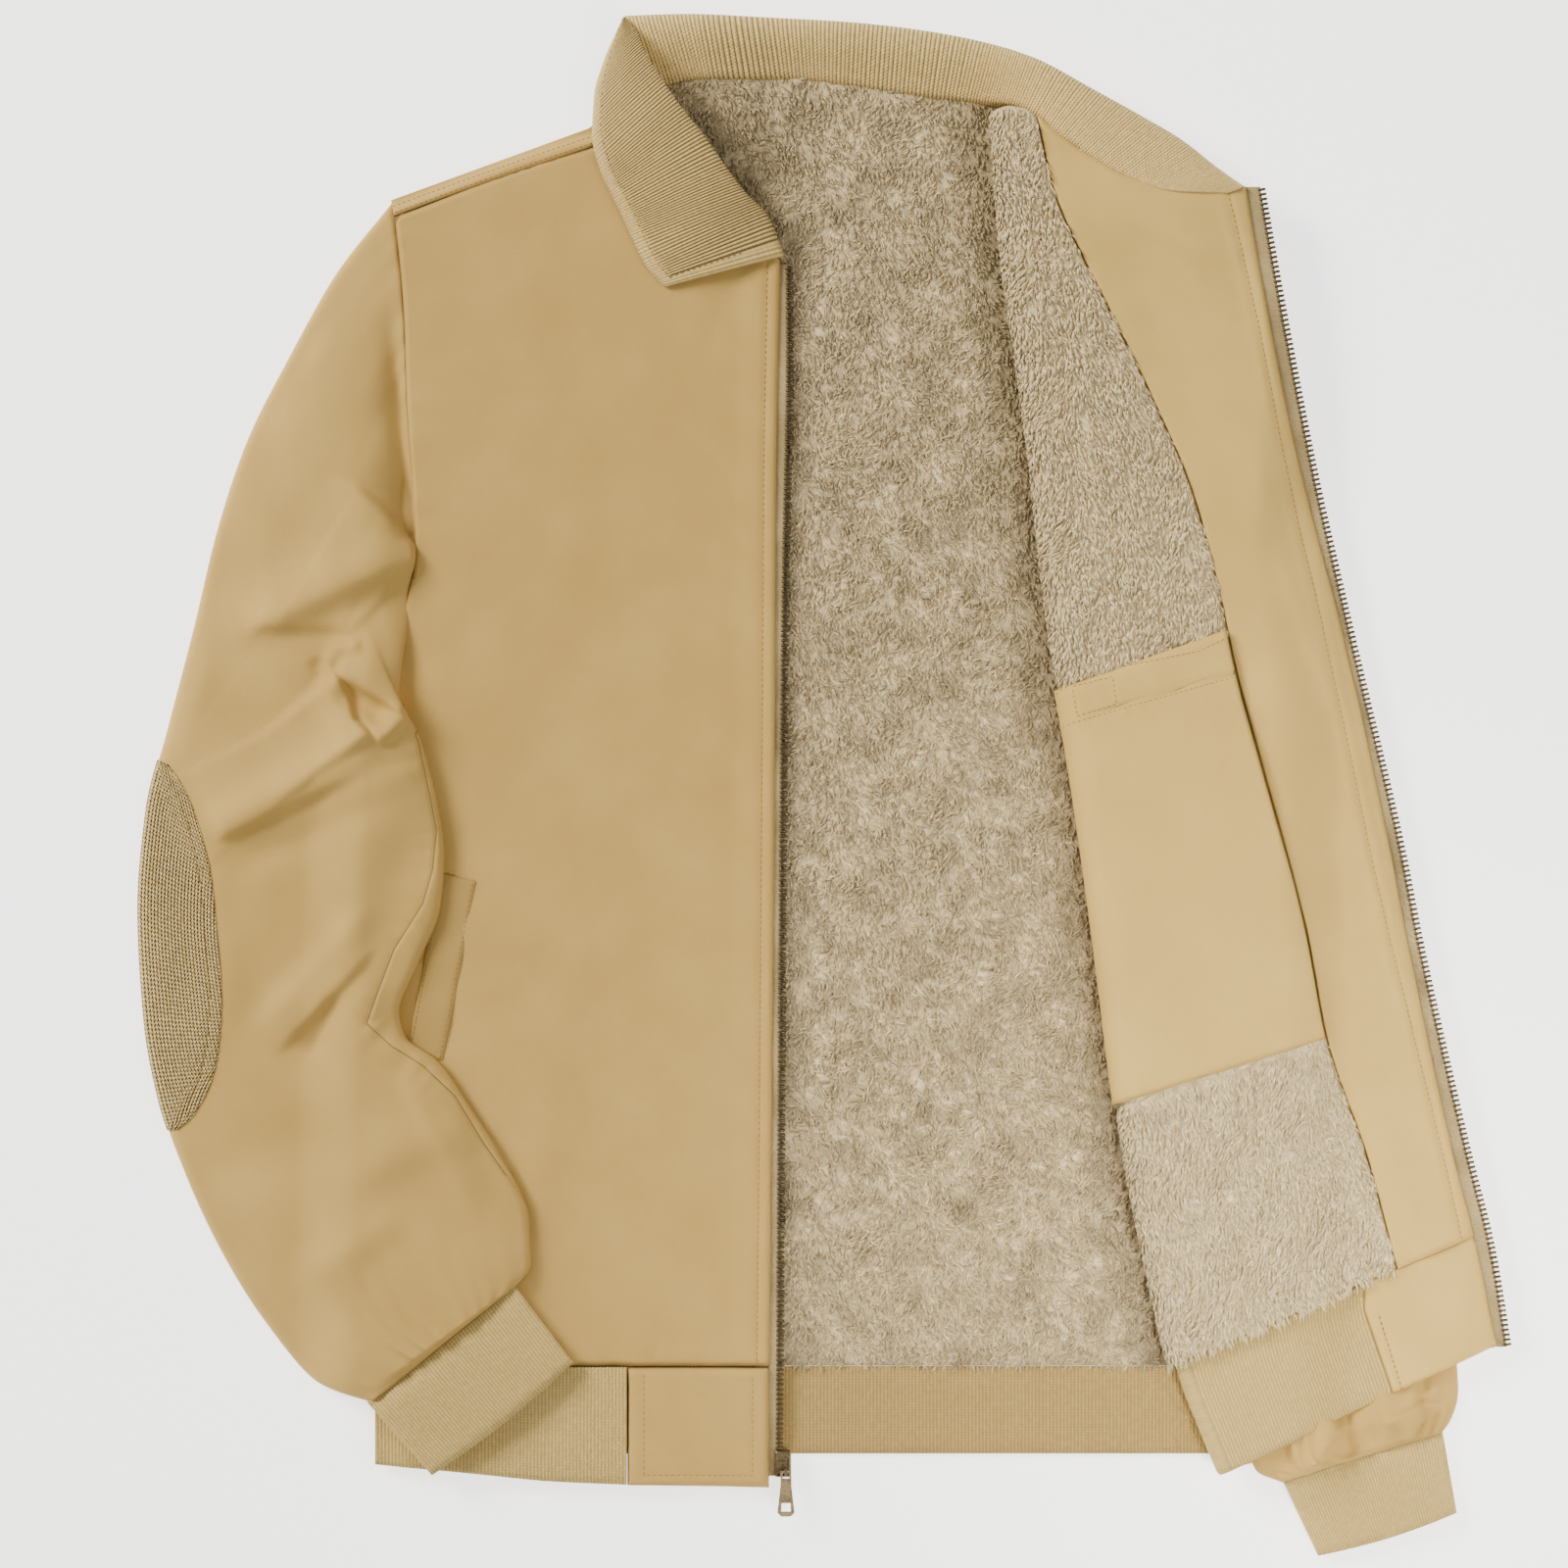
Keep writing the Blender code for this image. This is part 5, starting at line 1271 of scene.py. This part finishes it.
facingPiece = clothPiece("leftFacing", (x, y, z), facing["wall"], -1, litFacingCloth, "shell", ["facing_left"],
                         seamGap=np.clip(fromSeam, 0, noSeam))
sewRows("facingStitches", facingPiece, [placketLine], size=(2.0, 0.5, 0.3))

innerPocket = {"wall": 1.0, "lift": 1.3, "rows": 80, "turns": 10, "length": 205}
flap = Flap(np.linspace(pocketFoot + 0.5, pocketTop - 0.5, innerPocket["rows"])[:, None])
seamReach = flap.reachTo(facingSeam)
lift = walls["shell"] / 2 + 2 * walls["gap"] + walls["pile"] + innerPocket["lift"]
turned = flap.turn(lift, np.linspace(-30, 80, innerPocket["turns"])[None, :])
over = np.linspace(0, 1, 50)[None, :]
x, y, z = flap.on((seamReach - 0.8) * over, lift)
topLine = ((117, 47), (125.5, 53.5), (150, 61.5), (190.5, 69.5), (205, 76.5))
weltLine = ((118, 30), (128, 33.5), (150, 40), (210.5, 57), (214, 58))
pocketCreases = (
    (130, 10, 200, -10, 20, 1.0, 0.0), (140, -60, 220, -90, 22, 1.2, 0.2), (150, 20, 170, -120, 16, 0.9, 0.2),
    (200, 40, 235, -80, 14, 1.0, 0.0))
away, along = lineReach(weltLine, x, y)
z = z + creaseHeight(pocketCreases, x, y) * 0.8 + 0.3 * softWaves(x, y, 50, 81) - 0.5 * bell(away, 1.3)
z += 0.4 * bell(away - 4.5, 3.2) + 0.3 * pucker(away, along, 9, 11, 82)
pocketPoints = stacked((turned, (x, y, z)))
fromFoot = np.linspace(0, 1, innerPocket["rows"])[:, None] * innerPocket["length"]
pocketPoints[..., 2] -= 1.2 * rimDrop(np.minimum(fromFoot, innerPocket["length"] - fromFoot), 2.5)
gapTo = np.minimum(np.clip((1 - over) * seamReach, 0, noSeam), np.abs(away))
gapTo = np.concatenate((np.full((innerPocket["rows"], innerPocket["turns"]), noSeam), gapTo), axis=1)
pocketPiece = clothPiece("innerPocket", pocketPoints, innerPocket["wall"], -1, litFacingCloth, "shell",
                         ["inner_pocket"], seamGap=gapTo)
barTack = [(126.5, 50), (147, 55), (149, 41), (129, 35), (126.5, 50)]
sewRows("pocketStitches", pocketPiece, [offsetLine(weltLine, -1.6), offsetLine(topLine, -1.6), barTack],
        size=(1.8, 0.5, 0.3))
print("facing and inner pocket made")

# hem of the left front, folded over with it
split = ((-268, 276.0), (-318, 293.0), (-360, 306.0))
flap = Flap(mix(hemRow - 0.6, foldFoot, downShare))
cut = flap.reachTo(split)
sideY = mix(hemY - 1, -345, (hemRow - flap.yFold) / (hemRow - foldFoot))
lift = mix(-0.9, 0.9, upShare)
over = np.linspace(0, 1, 60)[None, :]
x, y = mix(226, flap.centreX, over), mix(sideY, flap.centreY, over)
lower = (x[:, :-1], y[:, :-1], 0 * x[:, :-1] + walls["band"] + walls["gap"] + 0.6 + walls["band"] / 2 - lift)
turned = flap.turn(lift, np.linspace(-90, 75, 14)[None, :])
ribColumns = int(round(hem["leftSpan"] / hem["rib"])) * 4
upper = flap.on((cut - 0.1) * np.linspace(0, 1, ribColumns)[None, :], lift)
hemPoints = stacked((lower, turned, upper))
steps = np.linalg.norm(np.diff(hemPoints, axis=1), axis=2).mean(axis=0)
along = np.concatenate(([0.0], np.cumsum(steps)))[None, :]
crest = crestAt(along / hem["rib"]) + 0 * hemPoints[..., 0]
top = np.concatenate((np.zeros(hemPoints.shape[1] - ribColumns), np.ones(ribColumns)))[None, :]
rise = hem["raise"] * crest * (2 * upShare - 1)
rise = rise + 0.4 * softWaves(hemPoints[..., 0], hemPoints[..., 1], 36, 83)
hemPoints[..., 2] += (rise - 0.5 * smooth(0.93, 1.0, 1 - downShare) * (upShare > 0.9)) * top
hemPiece = clothPiece("leftHemRib", hemPoints, 0, -1, ribCloth, "rib", ["hem_rib_left"],
                      cut=(float(along[0, -1]), hem["leftCut"]), crest=crest * top + 0.5 * (1 - top))

flap = Flap(np.linspace(foldFoot, hemRow + 0.4, 40)[:, None])
cut = flap.reachTo(split)
share = np.linspace(0, 1, 50)[None, :]
reach = mix(cut - 0.1, flap.length - 0.3, share)
x, y, z = flap.on(reach, 2.2)
rows = np.linspace(0, 57, 40)[:, None]
edge = np.minimum(np.minimum(rows, 59.0 - rows), np.minimum(reach - cut + 0.6, flap.length - reach))
endLine = ((283.5, -270.5), (296.5, -312))
away, along = lineReach(endLine, x, y)
z += 0.5 * bell(np.abs(away) - 3, 2.2) - 0.9 * bell(away, 1.1) - 1.7 * rimDrop(edge, 2.4)
z += 0.35 * softWaves(x, y, 34, 84) + 0.3 * pucker(rows, reach, 9, 7, 85)
leftEndPiece = clothPiece("leftHemEnd", (x, y, z), hem["leftEndWall"], -1, litFacingCloth, "shell",
                          ["hem_end_left"], seamGap=np.clip(np.minimum(reach - cut, 57.5 - rows), 0, noSeam))
footLine = ((299, -308), (312, -302), (330, -293), (346, -285))
sewRows("leftHemStitches", leftEndPiece, [endLine, footLine, [(a, b - 1.4) for a, b in footLine]],
        size=(2.0, 0.8, 0.5))
print("left hem made")


leftCreases = (         # start x, y, end x, y, half width, height, lean
    (228, -330, 240, -356, 5, -1.6, 0.0), (262, -306, 271, -346, 4.0, -2.2, 0.0),
    (284, -304, 290, -338, 6, 2.0, 0.2), (306, -300, 309, -330, 4, -2.0, 0.0),
    (270, -330, 318, -306, 7, 1.8, 0.2))
leftEdges = (           # height, fall, run, fade in, fade out, line
    (4.2, 3.5, 9, 6, 6, ((250, -358), (252, -346), (256, -336), (268, -326))),
    (3.0, 3.0, 8, 8, 8, ((320, -318), (310, -316), (298, -320), (286, -328))))


def fromCuff(down):
    # the way up the left sleeve from its cuff
    return readTable(((0.0, 640), (0.7, 82), (0.8, 32), (0.9, 10), (1.0, 0)), down)


def leftSleeveRise(x, y, down, across):
    profile = np.sin(math.pi * np.clip(across, 0, 1)) ** 0.55
    shown = 1 - smooth(34, 60, fromCuff(down))
    folds = creaseHeight(leftCreases, x, y) + foldEdges(leftEdges, x, y)
    gathers = 2.6 * pucker(fromCuff(down), across * 110, 24, 10, 91)
    edge = smooth(0, 0.12, across) * (1 - smooth(0.88, 1, across))
    rise = 3.4 + np.maximum(0.0, leftLoft * 0.8 * profile + (2.0 * folds + gathers) * shown * edge)
    return mix(rise, sleeve["leftEnd"], 1 - smooth(0, 6, fromCuff(down)))


downs = np.concatenate((np.linspace(1, 0.8, 34)[:-1], np.linspace(0.8, 0.68, 26)[:-1],
                        np.linspace(0.68, 0, 16)))
x, y, z, down, across, upper = sleeveRing(leftSleeve, downs, 56, 10, leftCarrier, leftSleeveRise,
                                          sleeve["leftEdgeRound"])
leftSleevePiece = clothPiece("leftSleeve", (x, y, z), sleeve["leftWall"], -1, shellCloth, "shell",
                             ["sleeve_left_top", "sleeve_left_under"], ring=True,
                             seamGap=np.clip(fromCuff(down), 0, noSeam))
print("left sleeve made")


# collar: ribs run across it, the leaf lies on the right front and the stand rolls over round the neck

collar = {"rib": 1.6, "standRib": 1.85, "raise": 0.75, "band": 6.0, "wall": 0.8, "leaf": 150, "stand": 330}
ribs = int(collar["leaf"] / collar["rib"])
share, over = gridOf(np.linspace(0, 1, ribs * 4 + 1),
                     np.concatenate((np.linspace(0, 0.86, 24), [0.9, 0.94, 0.97, 1.0])))
rollX, rollY, rollZ, edgeX, edgeY, edgeZ = stationAt(leafRows, share)
runX, runY = rollX - edgeX, rollY - edgeY
length = np.hypot(runX, runY)
low = np.clip(over / 0.93, 0, 1)
x, y = edgeX + runX * low, edgeY + runY * low
z = mix(edgeZ, rollZ - 1.0, smooth(-0.2, 1.0, low)) + 2.5 * np.sin(math.pi * low * 0.95) + 1.2
under = smooth(0.86, 1.0, over)         # tucked in below the roll
z -= np.minimum(5.0, 0.5 * (rollZ - edgeZ) + 0.8) * 1.2 * under ** 1.5
x, y = x - runX / length * 3.0 * under ** 3, y - runY / length * 3.0 * under ** 3
crest = crestAt(ribs * share)
fromEdge, fromEnd = low * length, share * collar["leaf"]
fromRim = np.minimum(fromEdge, fromEnd)
isBand = 1 - smooth(collar["band"] - 0.4, collar["band"] + 0.4, fromRim)
z += collar["raise"] * crest * mix(1.0, 0.4, isBand) - 0.7 * bell(fromRim - collar["band"], 0.8)
z += 0.3 * softWaves(x, y, 44, 95) - 1.6 * rimDrop(np.minimum(fromEdge, fromEnd + 0.3), 2.0)
leafPiece = clothPiece("collarLeaf", (x, y, z), collar["wall"], -1, collarCloth, "rib", ["collar_leaf"],
                       cut=(collar["leaf"], 66.0), crest=crest * mix(1.0, 0.6, isBand) + 0.4 * isBand)
atBand = collar["band"] / length
bandLine = np.column_stack((mix(edgeX, rollX, atBand)[8::24, 0], mix(edgeY, rollY, atBand)[8::24, 0]))
endRow = int(collar["band"] / collar["leaf"] * (len(share) - 1))
endLine = np.column_stack((x[endRow, 2:20:3], y[endRow, 2:20:3]))
sewRows("collarStitches", leafPiece, [bandLine, endLine], slot="rib", size=(2.2, 0.6, 0.35))

ribs = int(collar["stand"] / collar["standRib"])
standEnd, rollEnd = 0.55, 0.77          # shares of the way up the stand, over its roll and down the fall
share, over = gridOf(np.linspace(0, 1, ribs * 4 + 1), np.concatenate((
    [-0.055, -0.02], np.linspace(0, 0.55, 8), np.linspace(0.58, 0.77, 8), [0.85, 1.0])))
seamX, seamY, seamZAt, rollX, rollY, rollZ, fallZ = stationAt(standRows, share)
atLeaf = 1 - smooth(0, 0.09, share)     # the stand's end runs on beneath the leaf's roll
seamX, seamY, rollX = seamX - 9 * atLeaf, seamY - 3 * atLeaf, rollX - 6 * atLeaf
runX, runY = rollX - seamX, rollY - seamY
length = np.hypot(runX, runY)
radius = np.minimum((rollZ - fallZ) / 2 - 0.2, length * 0.33)
up = np.minimum(over / standEnd, 1)
bendBy = np.radians(90 - 180 * np.clip((over - standEnd) / 0.22, 0, 1))
back = np.clip((over - rollEnd) / 0.23, 0, 1)
rollStart = length - radius
onStand, onRoll = over <= standEnd, over <= rollEnd
reach = np.where(onRoll, rollStart + radius * np.cos(bendBy), rollStart - back * rollStart * 0.75)
reach = np.where(onStand, up * rollStart, reach)
# below its seam the stand hangs on as a curtain, longer where it closes the neck at the folded front
curtain = np.where((seamX > 70) & (seamX < 132), np.maximum(3.4, seamZAt - 3.0), 3.4)
z = np.where(onRoll, rollZ - radius + radius * np.sin(bendBy), mix(rollZ - 2 * radius, fallZ, back))
z = np.where(onStand, mix(seamZAt, rollZ, smooth(-0.3, 1.0, up)) - 10 * curtain * np.maximum(0, -up), z)
x, y = seamX + runX / length * reach, seamY + runY / length * reach
crest = crestAt(ribs * share)
z += (collar["raise"] * crest + 0.9) * (1 - smooth(standEnd, 0.7, over))
z += 0.3 * softWaves(x, y, 60, 96) * (over < 0.5)
standPiece = clothPiece("collarStand", np.stack((x, y, z), axis=2)[::-1], collar["wall"], 1, collarCloth,
                        "rib", ["collar_stand"], cut=(60.0, collar["stand"]), crest=crest[::-1])
print("collar made")
